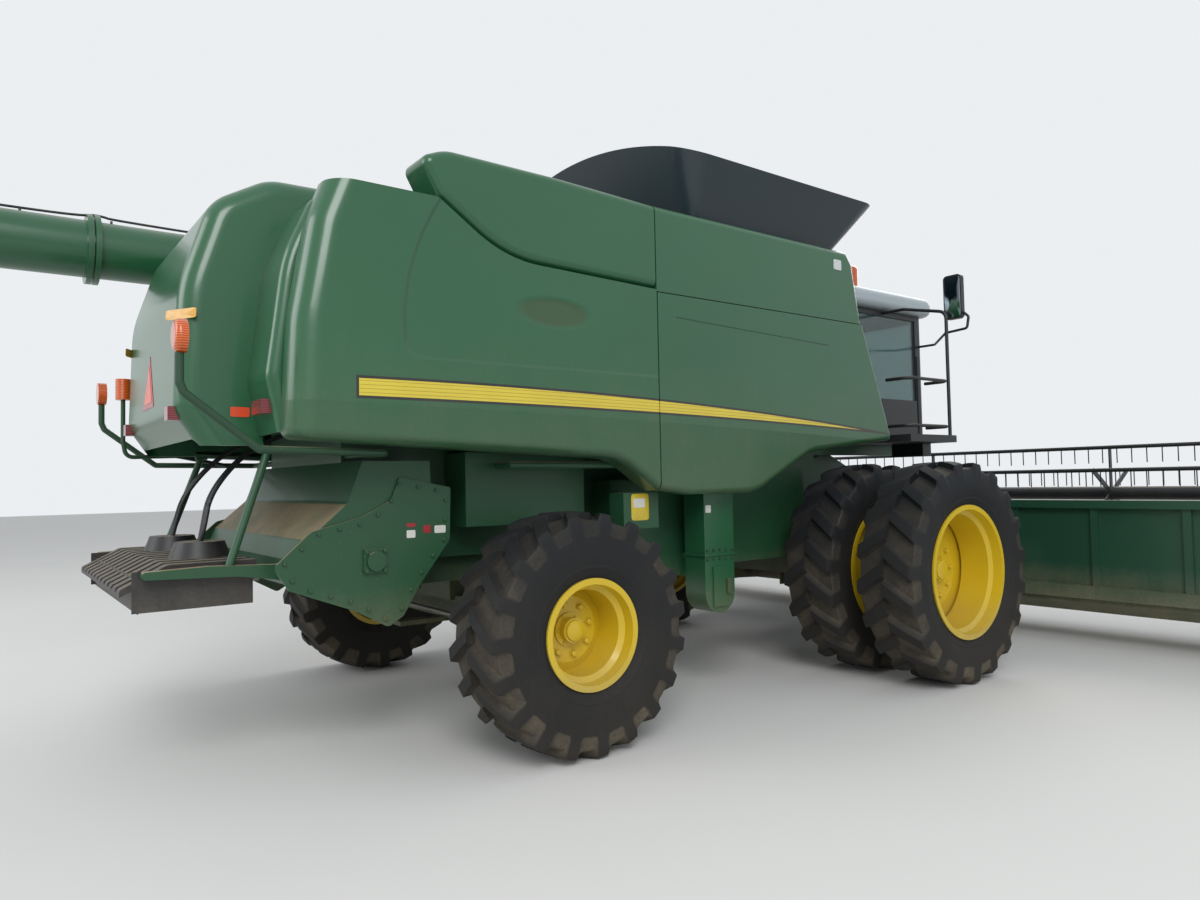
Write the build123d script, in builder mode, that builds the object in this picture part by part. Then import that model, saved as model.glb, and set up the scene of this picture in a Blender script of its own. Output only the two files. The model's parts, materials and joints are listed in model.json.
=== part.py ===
from build123d import *
from math import cos, hypot, pi, radians, sin
import os

os.makedirs("parts", exist_ok=True)

# Combine harvester with its grain header, full size, in millimetres.
# The ground is z = 0, +X points forward, +Y to the machine's left.
# Stations run forward from the front axle; FRONT_AXLE_X puts the origin under the middle.
FRONT_AXLE_X = 1549
WHEELBASE = 3510

# Clearances: at a seat, around a turning piece, and between panels
FIT = 0.3
RUNNING = 5
PANEL_GAP = 10

# Tyres
LUGS = 19
LUG_HEIGHT = 52
LUG_SWEEP = 165
CROWN_DROP = 14
SHOULDER_INSET = 22
RIM_FLANGE = 26
RIM_WALL = 14
RIM_WELL = 40

# Front wheels, two to a side on one hub
FRONT_TYRE_RADIUS = 930
FRONT_TYRE_WIDTH = 510
FRONT_BEAD_RADIUS = 533
FRONT_RIM_WIDTH = 456
INNER_DUAL_Y = 1524
OUTER_DUAL_Y = 2286
FRONT_HUB_RADIUS = 170
FRONT_DISC_INSET = 60
FINAL_DRIVE_RADIUS = 290

# Rear wheels, which steer
REAR_TYRE_RADIUS = 777
REAR_TYRE_WIDTH = 560
REAR_BEAD_RADIUS = 330
REAR_RIM_WIDTH = 490
REAR_WHEEL_Y = 1720
REAR_HUB_RADIUS = 110
KINGPIN_Y = 1270
KINGPIN_RADIUS = 32
KNUCKLE_RADIUS = 68
KNUCKLE_HALF_HEIGHT = 150
SPINDLE_RADIUS = 60
STEERING_ARM = 250
REAR_BEAM_HALF = 95

# Frame and threshing body
SEPARATOR_HALF_WIDTH = 790
SEPARATOR_FRONT = 180
SEPARATOR_REAR = -4700
SEPARATOR_TOP = 2270
SHOE_HALF_WIDTH = 1050
SHOE_FLOOR = 950
FRAME_TOP = 1230
RAIL_DEPTH = 190
RAIL_WIDTH = 110
RAIL_Y = 620

# Outer panels
BODY_Y = 1600
PANEL_WALL = 30
FRONT_SHIELD_DEPTH = 120
REAR_SHIELD_DEPTH = 205
SEAM_X = -2600
SHIELD_TOP = 3140
SHIELD_BOTTOM = 1630
REAR_SHIELD_TOP = 3515
LEFT_SHIELD_TOP = 3440
HINGE_INSET = 20
HINGE_RADIUS = 18
UPPER_SIDE_Y = 1590
UPPER_SIDE_TOP = 3805
LEDGE_WALL = 40
DECK_TOP = 3440
DECK_WALL = 40

# Rear hood
HOOD_FRONT = -4600
HOOD_HALF_WIDTH = 1385
HUMP_HALF_WIDTH = 950
HOOD_WALL = 34
HUMP_ROUNDING = 120
SHOULDER_ROUNDING = 60

# Grain tank and its raised extension
TANK_FRONT = -150
TANK_REAR = -1950
TANK_HALF_WIDTH = 1300
TANK_TOP = 3820
TANK_KNEE = 2980
TANK_FLOOR = 2300
TANK_FLOOR_HALF = 300
TANK_WALL = 30
EXTENSION_RIM = 4355
EXTENSION_CROWN = 4655
EXTENSION_HALF_WIDTH = 1520
EXTENSION_FRONT = 370
EXTENSION_REAR = -2150
EXTENSION_WALL = 24

# Unloading auger, folded back along the left side
AUGER_Y = 1580
AUGER_Z = 3700
AUGER_RADIUS = 228
AUGER_PIVOT_X = -450
AUGER_TIP_X = -7250
BAND_X = -5835
BAND_RADIUS = 280
BAND_WIDTH = 40
SPOUT_HALF_WIDTH = 200

# Cab, platforms and ladder
CAB_REAR = 400
CAB_FRONT = 2000
CAB_HALF_WIDTH = 930
CAB_FLOOR = 2080
CAB_TOP = 3540
CAB_WALL = 55
ROOF_EDGE = 110
ROOF_HEIGHT = 200
ROOF_OVERHANG = 110
DOOR_REAR = 620
DOOR_FRONT = 1560
DOOR_FOOT = 2160
DOOR_HEAD = 3470
DOOR_HINGE_RADIUS = 12
GLASS_WALL = 8
PLATFORM_TOP = 2140
PLATFORM_WALL = 70
RAIL_TUBE = 17

# Feeder house and header
FEEDER_PIVOT_X = 300
FEEDER_PIVOT_Z = 1720
FEEDER_HALF_WIDTH = 700
HEADER_BACK_X = 2360
HEADER_HALF_WIDTH = 4570
HEADER_TOP = 1460
HEADER_FLOOR = 330
HEADER_SHEET = 22
END_SHEET = 60
CROSS_AUGER_X = 2790
CROSS_AUGER_Z = 720
CROSS_AUGER_RADIUS = 305
CROSS_AUGER_TUBE = 205
FLIGHT_WALL = 8
FLIGHT_PITCH = 560
KNIFE_X = 3360
GUARD_SPACING = 152.4
GUARD_LENGTH = 110
DIVIDER_TIP_X = 4100
REEL_X = 3680
REEL_Z = 1500
REEL_RADIUS = 520
REEL_TUBE_RADIUS = 75
REEL_BATS = 6
TINE_LENGTH = 180
TINE_SPACING = 150
TINE_WIDTH = 9
REEL_ARM_PIVOT_X = 2380
REEL_ARM_BELOW = 20

# Lift cylinders under the feeder house
LIFT_Y = 430
LIFT_BASE_X = 270
LIFT_BASE_Z = 680
LIFT_EYE_X = 1750
LIFT_EYE_Z = 600
LIFT_BARREL_RADIUS = 55
LIFT_ROD_RADIUS = 30
LIFT_BARREL_LENGTH = 1000
LIFT_PIN_RADIUS = 20
LIFT_EYE_PLAY = 14

# Chopper and spreader
CHOPPER_HALF_WIDTH = 1200
CHOPPER_SHEET = 20
CHOPPER_SHAFT_X = -4640
CHOPPER_SHAFT_Z = 1275
HOUSING_REAR = -5100
SPREADER_X = -5500
SPREADER_DISC_Y = 450
SPREADER_DISC_RADIUS = 380
SPREADER_TOP = 1290
SPREADER_ARM_Y = 1000

# Rear hitch for a header trailer
HITCH_PIN_RADIUS = 17
HITCH_WALL = 36
HITCH_REACH = 420

SIDES = [("right", -1), ("left", 1)]


def side_plane(y):
    """Upright plane at a width y: its x is the station, its y the height, and it faces right."""
    return Plane(origin=(FRONT_AXLE_X, y, 0), x_dir=(1, 0, 0), z_dir=(0, -1, 0))


def plan_plane(z):
    """Level plane at a height z: its x is the station, its y the width."""
    return Plane(origin=(FRONT_AXLE_X, 0, z), x_dir=(1, 0, 0), z_dir=(0, 0, 1))


def cross_plane(x):
    """Upright plane across the machine at a station x: its x is the width, its y the height."""
    return Plane(origin=(FRONT_AXLE_X + x, 0, 0), x_dir=(0, 1, 0), z_dir=(1, 0, 0))


def outline(plane, points):
    """A closed face through the points; a point's third number rounds its corner."""
    with BuildSketch(plane) as face:
        with BuildLine():
            Polyline(*[point[:2] for point in points], close=True)
        make_face()
        for point in points:
            if len(point) > 2 and point[2]:
                corner = face.vertices().sort_by_distance(point[:2])[0]
                fillet(corner, point[2])
    return face.sketch


def block(x, y, z, mode=Mode.ADD):
    """A box between two stations, two widths and two heights."""
    with Locations((FRONT_AXLE_X + (x[0] + x[1]) / 2, (y[0] + y[1]) / 2, (z[0] + z[1]) / 2)):
        Box(abs(x[1] - x[0]), abs(y[1] - y[0]), abs(z[1] - z[0]), mode=mode)


def cross_bar(x, z, y, radius, mode=Mode.ADD):
    """A round bar across the machine between two widths."""
    with BuildSketch(side_plane(max(y))) as ring:
        with Locations((x, z)):
            Circle(radius)
    extrude(ring.sketch, amount=max(y) - min(y), mode=mode)


def post(x, y, z, radius, mode=Mode.ADD):
    """A round upright bar between two heights."""
    with BuildSketch(plan_plane(min(z))) as ring:
        with Locations((x, y)):
            Circle(radius)
    extrude(ring.sketch, amount=max(z) - min(z), mode=mode)


def tube(points, radius, bend):
    """A round bar along a route of (station, width, height) points with rounded bends."""
    places = [(FRONT_AXLE_X + x, y, z) for x, y, z in points]
    with BuildLine() as path:
        if len(places) > 2:
            FilletPolyline(*places, radius=bend)
        else:
            Line(*places)
    with BuildSketch(Plane(origin=path.line @ 0, z_dir=path.line % 0)) as ring:
        Circle(radius)
    sweep(ring.sketch, path=path.line)


def spun(points, x, z):
    """A ring spun about the axle at station x and height z, from (width, radius) points."""
    axle = Axis((FRONT_AXLE_X + x, 0, z), (0, 1, 0))
    profile = [(width, z + radius) for width, radius in points]
    revolve(outline(cross_plane(x), profile), axis=axle)


def mirrored(points, sign):
    """The same (station, width, height) route on the side that the sign names."""
    return [(x, sign * y, z) for x, y, z in points]


def save(part, name):
    """Label a finished piece and write its file."""
    part.label = name
    export_step(part, f"parts/{name}.step")


def facet(*corners):
    """A flat face through its corners."""
    return Face(Wire.make_polygon(corners, close=True))


def tyre_half(x, centre, row, width, bead, radius, rim_width):
    """One side of a lugged tyre in flat facets, from the crown over the lugs down to the bore."""
    pitch = 2 * pi / LUGS
    sweep_angle = LUG_SWEEP / radius
    offset = row * pitch / 4
    # The bore and bead are regular outlines, so they are widened to stay outside the rim's circle
    widen = 1 / cos(pitch / 4)

    def ring(y, shares, turn):
        """Points around the wheel, one for each (share of the pitch, radius) of each lug."""
        places = []
        for lug in range(LUGS):
            for share, reach in shares:
                angle = (lug + share) * pitch + offset + turn
                places.append((FRONT_AXLE_X + x + reach * cos(angle), y, radius + reach * sin(angle)))
        return places

    def lug_shares(tip):
        """A lug's root, its two top corners and its other root, at a tip radius."""
        root = tip - LUG_HEIGHT
        return [(-0.26, root), (-0.16, tip), (0.16, tip), (0.26, root)]

    seat_y = centre + row * (rim_width / 2 - RIM_WALL - FIT)
    lip = (bead + RIM_FLANGE + FIT) * widen
    bore = (bead + FIT) * widen
    bulge = (bead + radius) / 2
    shoulder_y = centre + row * (width / 2 - SHOULDER_INSET)
    crown = ring(centre, lug_shares(radius), 0)
    shoulder = ring(shoulder_y, lug_shares(radius - CROWN_DROP), sweep_angle)
    wall = ring(centre + row * width / 2, [(0, bulge), (0.5, bulge)], sweep_angle)
    lips = ring(seat_y, [(0, lip), (0.5, lip)], sweep_angle)
    beads = ring(seat_y, [(0, bore), (0.5, bore)], sweep_angle)
    middle = ring(centre, [(0, bore), (0.5, bore)], sweep_angle)

    faces = []
    for i in range(4 * LUGS):
        faces.append(facet(crown[i - 1], crown[i], shoulder[i]))
        faces.append(facet(crown[i - 1], shoulder[i], shoulder[i - 1]))
    for lug in range(LUGS):
        first, second, third, fourth, following = [shoulder[(4 * lug + k) % (4 * LUGS)] for k in range(5)]
        under_lug, under_gap, next_lug = [wall[(2 * lug + k) % (2 * LUGS)] for k in range(3)]
        faces += [
            facet(first, second, under_lug), facet(second, third, under_lug), facet(third, fourth, under_lug),
            facet(fourth, under_gap, under_lug), facet(fourth, following, under_gap),
            facet(following, next_lug, under_gap),
        ]
    for near, far in ((wall, lips), (lips, beads), (beads, middle)):
        for i in range(2 * LUGS):
            faces.append(facet(near[i - 1], near[i], far[i], far[i - 1]))
    inner_edge = Wire.make_polygon(middle, close=True)
    faces.append(Face(Wire.make_polygon(crown, close=True), [inner_edge]))
    return Solid(Shell(faces))


def lug_tyre(x, centre, width, bead, radius, rim_width):
    """A tyre with two rows of swept lugs that meet at the crown, half a pitch apart."""
    for row in (-1, 1):
        add(tyre_half(x, centre, row, width, bead, radius, rim_width))


def rim_barrel(x, z, centre, bead, rim_width):
    """A rim's barrel with its flanges, bead seats and sunken middle."""
    half = rim_width / 2
    # (distance from the middle of the rim, radius) along the outside of one half
    outside = [
        (half, bead + RIM_FLANGE), (half - RIM_WALL, bead + RIM_FLANGE), (half - RIM_WALL, bead),
        (half - 85, bead - 6), (half - 110, bead - RIM_WELL),
    ]
    inside = [
        (half - 110 + RIM_WALL / 2, bead - RIM_WELL - RIM_WALL),
        (half - 85 + RIM_WALL / 2, bead - 6 - RIM_WALL),
        (half, bead - RIM_WALL),
    ]
    section = outside + [(-w, r) for w, r in reversed(outside)]
    section += [(-w, r) for w, r in reversed(inside)] + inside
    spun([(centre + w, r) for w, r in section], x, z)


# Front wheels: two tyres and two deep rims to a side, joined by the hub
inner_disc = INNER_DUAL_Y + FRONT_RIM_WIDTH / 2 - FRONT_DISC_INSET - RIM_WALL
outer_disc = OUTER_DUAL_Y - FRONT_RIM_WIDTH / 2 + FRONT_DISC_INSET
hub_start = INNER_DUAL_Y - FRONT_RIM_WIDTH / 2 - 10
spigot_end = hub_start + 120
well_radius = FRONT_BEAD_RADIUS - RIM_WALL
for side, sign in SIDES:
    with BuildPart() as front_tyres:
        for centre in (INNER_DUAL_Y, OUTER_DUAL_Y):
            lug_tyre(
                0, sign * centre, FRONT_TYRE_WIDTH, FRONT_BEAD_RADIUS, FRONT_TYRE_RADIUS, FRONT_RIM_WIDTH
            )
    save(front_tyres.part, f"tyres_front_{side}")

    with BuildPart() as front_rims:
        for centre in (INNER_DUAL_Y, OUTER_DUAL_Y):
            rim_barrel(0, FRONT_TYRE_RADIUS, sign * centre, FRONT_BEAD_RADIUS, FRONT_RIM_WIDTH)
        for disc, dish in ((inner_disc, -1), (outer_disc, 1)):
            flat = disc + dish * 40
            dished = [
                (flat, 0), (flat, 330), (disc, well_radius), (disc + RIM_WALL, well_radius),
                (flat + RIM_WALL, 330), (flat + RIM_WALL, 0),
            ]
            spun([(sign * w, r) for w, r in dished], 0, FRONT_TYRE_RADIUS)
        cross_bar(0, FRONT_TYRE_RADIUS, (sign * hub_start, sign * (outer_disc + 70)), FRONT_HUB_RADIUS)
        cross_bar(0, FRONT_TYRE_RADIUS, (sign * (outer_disc + 40), sign * (outer_disc + 130)), 95)
        cross_bar(
            0, FRONT_TYRE_RADIUS, (sign * hub_start, sign * (spigot_end + FIT)), SPINDLE_RADIUS + FIT,
            mode=Mode.SUBTRACT,
        )
    save(front_rims.part, f"rims_front_{side}")

# Front axle: a beam with a final drive at each end, and ears for the lift cylinders
drive_outer = hub_start - RUNNING
with BuildPart() as front_axle:
    block((-170, 170), (-1150, 1150), (FRONT_TYRE_RADIUS - 130, FRAME_TOP - RAIL_DEPTH))
    for side, sign in SIDES:
        cross_bar(0, FRONT_TYRE_RADIUS, (sign * 960, sign * (drive_outer - 60)), FINAL_DRIVE_RADIUS)
        cross_bar(0, FRONT_TYRE_RADIUS, (sign * 1000, sign * drive_outer), FRONT_HUB_RADIUS)
        cross_bar(0, FRONT_TYRE_RADIUS, (sign * 1000, sign * spigot_end), SPINDLE_RADIUS)
        for ear in (LIFT_Y - 84, LIFT_Y + 62):
            block(
                (120, LIFT_BASE_X + 45), (sign * ear, sign * (ear + 22)),
                (LIFT_BASE_Z - 45, FRONT_TYRE_RADIUS - 60),
            )
        cross_bar(LIFT_BASE_X, LIFT_BASE_Z, (sign * (LIFT_Y - 84), sign * (LIFT_Y + 84)), LIFT_PIN_RADIUS)
save(front_axle.part, "front_axle")

# Rear axle: a beam under the frame with a yoke for each kingpin, and the hitch plate
rear_z = REAR_TYRE_RADIUS
yoke_y = KINGPIN_Y - 105
yoke_depth = (-WHEELBASE - 75, -WHEELBASE + 75)
hitch_z = (rear_z - REAR_BEAM_HALF - HITCH_WALL, rear_z - REAR_BEAM_HALF)
with BuildPart() as rear_axle:
    block(
        (-WHEELBASE - REAR_BEAM_HALF, -WHEELBASE + REAR_BEAM_HALF), (-yoke_y, yoke_y),
        (rear_z - REAR_BEAM_HALF, rear_z + REAR_BEAM_HALF),
    )
    block((-WHEELBASE - 140, -WHEELBASE + 140), (-260, 260), (rear_z + 60, FRAME_TOP - RAIL_DEPTH))
    for side, sign in SIDES:
        for level in (-1, 1):
            start = rear_z + level * (KNUCKLE_HALF_HEIGHT + RUNNING)
            block(yoke_depth, (sign * (yoke_y - 60), sign * (KINGPIN_Y + 70)), (start, start + level * 45))
            post(
                -WHEELBASE, sign * KINGPIN_Y, (start, start + level * 45), KINGPIN_RADIUS + FIT,
                mode=Mode.SUBTRACT,
            )
        block(
            yoke_depth, (sign * (yoke_y - 60), sign * yoke_y),
            (rear_z - KNUCKLE_HALF_HEIGHT - 50, rear_z + KNUCKLE_HALF_HEIGHT + 50),
        )
    block((-WHEELBASE - HITCH_REACH - 45, -WHEELBASE), (-60, 60), hitch_z)
    post(-WHEELBASE - HITCH_REACH, 0, hitch_z, HITCH_PIN_RADIUS, mode=Mode.SUBTRACT)
save(rear_axle.part, "rear_axle")

# Knuckles: a barrel on the kingpin, a spindle for the wheel and an arm for the tie rod
hub_inner = REAR_WHEEL_Y - 140
rear_spigot_end = hub_inner + 110
arm_z = (rear_z - 70, rear_z - 30)
for side, sign in SIDES:
    with BuildPart() as knuckle:
        post(
            -WHEELBASE, sign * KINGPIN_Y,
            (rear_z - KNUCKLE_HALF_HEIGHT, rear_z + KNUCKLE_HALF_HEIGHT), KNUCKLE_RADIUS,
        )
        pin_half = KNUCKLE_HALF_HEIGHT + RUNNING + 45
        post(-WHEELBASE, sign * KINGPIN_Y, (rear_z - pin_half, rear_z + pin_half), KINGPIN_RADIUS)
        cross_bar(-WHEELBASE, rear_z, (sign * KINGPIN_Y, sign * (hub_inner - RUNNING)), SPINDLE_RADIUS + 20)
        cross_bar(-WHEELBASE, rear_z, (sign * KINGPIN_Y, sign * rear_spigot_end), SPINDLE_RADIUS - 10)
        block(
            (-WHEELBASE - STEERING_ARM - 40, -WHEELBASE), (sign * (KINGPIN_Y - 30), sign * (KINGPIN_Y + 30)),
            arm_z,
        )
    save(knuckle.part, f"knuckle_{side}")

# Tie rod across the machine, lying on the knuckles' arms
rod_radius = 20
rod_z = arm_z[1] + FIT + rod_radius
with BuildPart() as tie_rod:
    cross_bar(-WHEELBASE - STEERING_ARM, rod_z, (-KINGPIN_Y, KINGPIN_Y), rod_radius)
    for side, sign in SIDES:
        post(
            -WHEELBASE - STEERING_ARM, sign * KINGPIN_Y, (arm_z[1] + FIT, rod_z + rod_radius), rod_radius + 12
        )
save(tie_rod.part, "tie_rod")

# Rear wheels
rear_disc = REAR_WHEEL_Y - 60
for side, sign in SIDES:
    with BuildPart() as rear_tyre:
        lug_tyre(
            -WHEELBASE, sign * REAR_WHEEL_Y, REAR_TYRE_WIDTH, REAR_BEAD_RADIUS, REAR_TYRE_RADIUS,
            REAR_RIM_WIDTH,
        )
    save(rear_tyre.part, f"tyre_rear_{side}")

    with BuildPart() as rear_rim:
        rim_barrel(-WHEELBASE, rear_z, sign * REAR_WHEEL_Y, REAR_BEAD_RADIUS, REAR_RIM_WIDTH)
        rim_inside = REAR_BEAD_RADIUS - RIM_WELL - RIM_WALL / 2
        dished = [
            (rear_disc, 0), (rear_disc, 215), (rear_disc - 30, rim_inside),
            (rear_disc - 30 + RIM_WALL, rim_inside), (rear_disc + RIM_WALL, 215), (rear_disc + RIM_WALL, 0),
        ]
        spun([(sign * w, r) for w, r in dished], -WHEELBASE, rear_z)
        cross_bar(-WHEELBASE, rear_z, (sign * hub_inner, sign * (rear_disc + 30)), REAR_HUB_RADIUS)
        cross_bar(-WHEELBASE, rear_z, (sign * rear_disc, sign * (rear_disc + 85)), REAR_HUB_RADIUS - 30)
        cross_bar(
            -WHEELBASE, rear_z, (sign * hub_inner, sign * (rear_spigot_end + FIT)), SPINDLE_RADIUS - 10 + FIT,
            mode=Mode.SUBTRACT,
        )
    save(rear_rim.part, f"rim_rear_{side}")

# Chassis frame: two rails with cross members
rail_z = (FRAME_TOP - RAIL_DEPTH, FRAME_TOP)
with BuildPart() as frame_rails:
    for side, sign in SIDES:
        rail_y = (sign * (RAIL_Y - RAIL_WIDTH / 2), sign * (RAIL_Y + RAIL_WIDTH / 2))
        block((SEPARATOR_REAR, 300), rail_y, rail_z)
    for station in (-4600, -WHEELBASE, -1750, 0):
        block((station - 70, station + 70), (-RAIL_Y, RAIL_Y), rail_z)
save(frame_rails.part, "frame_rails")

# Threshing and separating body with its cleaning shoe, side boxes, panel outriggers and header pivots
rail_outer = RAIL_Y + RAIL_WIDTH / 2
shield_inside = BODY_Y - PANEL_WALL - FIT
cab_rail_z = (CAB_FLOOR - 110, CAB_FLOOR - FIT)
with BuildPart() as separator_body:
    block(
        (SEPARATOR_REAR, SEPARATOR_FRONT), (-SEPARATOR_HALF_WIDTH, SEPARATOR_HALF_WIDTH),
        (FRAME_TOP, SEPARATOR_TOP),
    )
    for side, sign in SIDES:
        # (station range, outer width, height range) of the boxes beside the frame rails
        boxes = [
            ((-2650, -1350), SHOE_HALF_WIDTH, (SHOE_FLOOR, 1750)),
            ((-1350, -300), SHOE_HALF_WIDTH - 20, (SHOE_FLOOR + 60, 1900)),
            ((-3950, -2950), SHOE_HALF_WIDTH + 60, (1450, 1960)),
        ]
        for x, outer, z in boxes:
            block(x, (sign * (rail_outer + RUNNING), sign * outer), z)
        tube(mirrored([(-3750, 1350, 1865), (-2740, 1350, 1865)], sign), 26, 0)
        for station in (-3700, -2800):
            cross_bar(station, 1865, (sign * (SHOE_HALF_WIDTH + 50), sign * 1350), 22)
        for station, height in ((-3300, 2500), (-3300, 2900), (-2300, 2200), (-700, 2200)):
            cross_bar(station, height, (sign * (SEPARATOR_HALF_WIDTH - 5), sign * shield_inside), 24)
        block((-3330, -3270), (sign * (SEPARATOR_HALF_WIDTH - 40), sign * SEPARATOR_HALF_WIDTH), (2000, 2930))
        # Plates and stub pins that carry the feeder house
        plate_y = (sign * (FEEDER_HALF_WIDTH + 36 + FIT), sign * (FEEDER_HALF_WIDTH + 66))
        block((SEPARATOR_FRONT - 10, FEEDER_PIVOT_X + 130), plate_y, (1580, 1860))
        cross_bar(FEEDER_PIVOT_X, FEEDER_PIVOT_Z, (plate_y[1], sign * (FEEDER_HALF_WIDTH + 6)), 50)
        # Rails that the cab stands on
        block((SEPARATOR_FRONT - 10, CAB_FRONT - 100), (plate_y[0], sign * SEPARATOR_HALF_WIDTH), cab_rail_z)
    block((-2800, -2460), (-1400, -1230), (1385, 1655))
    block((-2640, -2560), (-1230, -SHOE_HALF_WIDTH + 5), (1500, 1560))
save(separator_body.part, "separator_body")

# Engine: one plain block at its real place and size
with BuildPart() as engine_block:
    block((-3850, -2700), (-520, 520), (SEPARATOR_TOP, 3330))
save(engine_block.part, "engine_block")

# Side shields, pressed pans that hinge along their top edges
# Each corner is (station, height, rounding)
front_seam = SEAM_X + PANEL_GAP / 2
rear_seam = SEAM_X - PANEL_GAP / 2
front_shield = [
    (front_seam, SHIELD_TOP, 0), (-62, SHIELD_TOP, 0), (248, 2340, 250), (345, 2085, 40),
    (-860, 1965, 600), (-1560, SHIELD_BOTTOM, 500), (-2300, SHIELD_BOTTOM, 300), (front_seam, 1672, 0),
]
swoosh = [(-4370, REAR_SHIELD_TOP, 60), (-3900, 3200, 900), (rear_seam, SHIELD_TOP + 20, 0)]
rear_shield_edge = [
    (rear_seam, 1668, 0), (-2960, 1905, 450), (-5268, 2015, 0), (-5235, 2700, 900), (-5130, 3285, 500),
]
rear_shields = {
    "right": rear_shield_edge + [(-5040, REAR_SHIELD_TOP, 0)] + swoosh,
    "left": rear_shield_edge + [
        (-5065, LEFT_SHIELD_TOP, 0), (-4260, LEFT_SHIELD_TOP, 60), (-3900, 3200, 900),
        (rear_seam, SHIELD_TOP + 20, 0),
    ],
}


def pressed_pan(points, sign, depth, corner, edge):
    """A pan open towards the machine, with its tail corner and its outer edges rounded."""
    extrude(outline(side_plane(sign * (BODY_Y - depth)), points), amount=-sign * depth)
    outer = faces_at(sign * BODY_Y)
    if corner:
        tail = [e for e in outer.edges() if e.center().X < FRONT_AXLE_X - 5060 and e.center().Z > 2030]
        fillet(tail, corner)
        outer = faces_at(sign * BODY_Y)
    low = [e for e in outer.edges() if e.center().Z < 2150]
    fillet(low, edge)
    offset(amount=-PANEL_WALL, openings=faces_at(sign * (BODY_Y - depth)))


def faces_at(y):
    """The flat face of the piece in hand that lies at a width y."""
    flat = [face for face in BuildPart._get_context().part.faces() if abs(face.normal_at().Y) > 0.99]
    return min(flat, key=lambda face: abs(face.center().Y - y))


for side, sign in SIDES:
    with BuildPart() as shield:
        pressed_pan(front_shield, sign, FRONT_SHIELD_DEPTH, 0, 50)
        hinge = (sign * (BODY_Y - HINGE_INSET), SHIELD_TOP - HINGE_INSET)
        for station in (-2300, -500):
            with Locations((FRONT_AXLE_X + station, *hinge)):
                Cylinder(HINGE_RADIUS, 120, rotation=(0, 90, 0))
    save(shield.part, f"shield_front_{side}")

    top = REAR_SHIELD_TOP if side == "right" else LEFT_SHIELD_TOP
    with BuildPart() as shield:
        pressed_pan(rear_shields[side], sign, REAR_SHIELD_DEPTH, 150, 60)
        for station in (-4850, -4450):
            with Locations((FRONT_AXLE_X + station, sign * (BODY_Y - HINGE_INSET), top - HINGE_INSET)):
                Cylinder(HINGE_RADIUS, 120, rotation=(0, 90, 0))
    save(shield.part, f"shield_rear_{side}")

# Rear hood: a central hump between two lower shoulders, open below and in front
# Each corner is (station, height, rounding)
hump = [
    (HOOD_FRONT, 2000), (-5585, 2000), (-5715, 2200, 160), (-5690, 2950, 900), (-5520, 3480, 300),
    (-5180, 3680, 300), (HOOD_FRONT, 3690),
]
shoulder = [
    (HOOD_FRONT, 2060), (-5265, 2060), (-5330, 2380, 150), (-5235, 3080, 900), (-5060, 3465, 120),
    (HOOD_FRONT, 3500),
]


def inset(points, wall):
    """The same outline moved in by the wall at the back and top, and run out below and in front."""
    middle = [(x + wall, z - wall, *rounding) for x, z, *rounding in points[2:-1]]
    start = (points[1][0] + wall, points[1][1] - 2 * wall)
    end = (points[-1][0] + 2 * wall, points[-1][1] - wall)
    return [(end[0], start[1]), start] + middle + [end]


def hood_form(points, half_width, rounding):
    """A crowned form across the machine with its two side edges rounded at the back and top."""
    extrude(outline(side_plane(half_width), points), amount=2 * half_width)
    for y in (-half_width, half_width):
        rim = faces_at(y).edges().filter_by(lambda e: e.center().Z > 2120)
        rim = rim.filter_by(lambda e: e.center().X < FRONT_AXLE_X + HOOD_FRONT - 5)
        fillet(rim, rounding)


with BuildPart() as hump_outside:
    hood_form(hump, HUMP_HALF_WIDTH, HUMP_ROUNDING)
with BuildPart() as hump_inside:
    hood_form(inset(hump, HOOD_WALL), HUMP_HALF_WIDTH - HOOD_WALL, HUMP_ROUNDING - HOOD_WALL)
with BuildPart() as shoulder_outside:
    hood_form(shoulder, HOOD_HALF_WIDTH, SHOULDER_ROUNDING)
with BuildPart() as shoulder_inside:
    hood_form(inset(shoulder, HOOD_WALL), HOOD_HALF_WIDTH - HOOD_WALL, SHOULDER_ROUNDING - HOOD_WALL)
with BuildPart() as rear_hood:
    add(hump_outside.part)
    add(shoulder_outside.part)
    add(hump_inside.part, mode=Mode.SUBTRACT)
    add(shoulder_inside.part, mode=Mode.SUBTRACT)
save(rear_hood.part, "rear_hood")

# Upper sides: a swept fairing and a tank side on the right, inset sides and a ledge on the left
fairing_gap = 1.5 * PANEL_GAP
fairing = [
    (rear_seam, UPPER_SIDE_TOP, 0), (-3500, UPPER_SIDE_TOP + 30, 900), (-4300, UPPER_SIDE_TOP + 35, 300),
    (-4475, UPPER_SIDE_TOP - 40, 60), (-4345, REAR_SHIELD_TOP + fairing_gap, 60),
    (-3880, 3200 + fairing_gap, 900), (rear_seam, SHIELD_TOP + 20 + fairing_gap, 0),
]
tank_side = [
    (front_seam, SHIELD_TOP + PANEL_GAP, 0), (-70, SHIELD_TOP + PANEL_GAP, 0), (-180, 3700, 60),
    (-265, UPPER_SIDE_TOP, 40), (front_seam, UPPER_SIDE_TOP, 0),
]
left_wall_y = TANK_HALF_WIDTH + FIT
ledge_z = (SHIELD_TOP + PANEL_GAP, SHIELD_TOP + PANEL_GAP + LEDGE_WALL)
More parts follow.
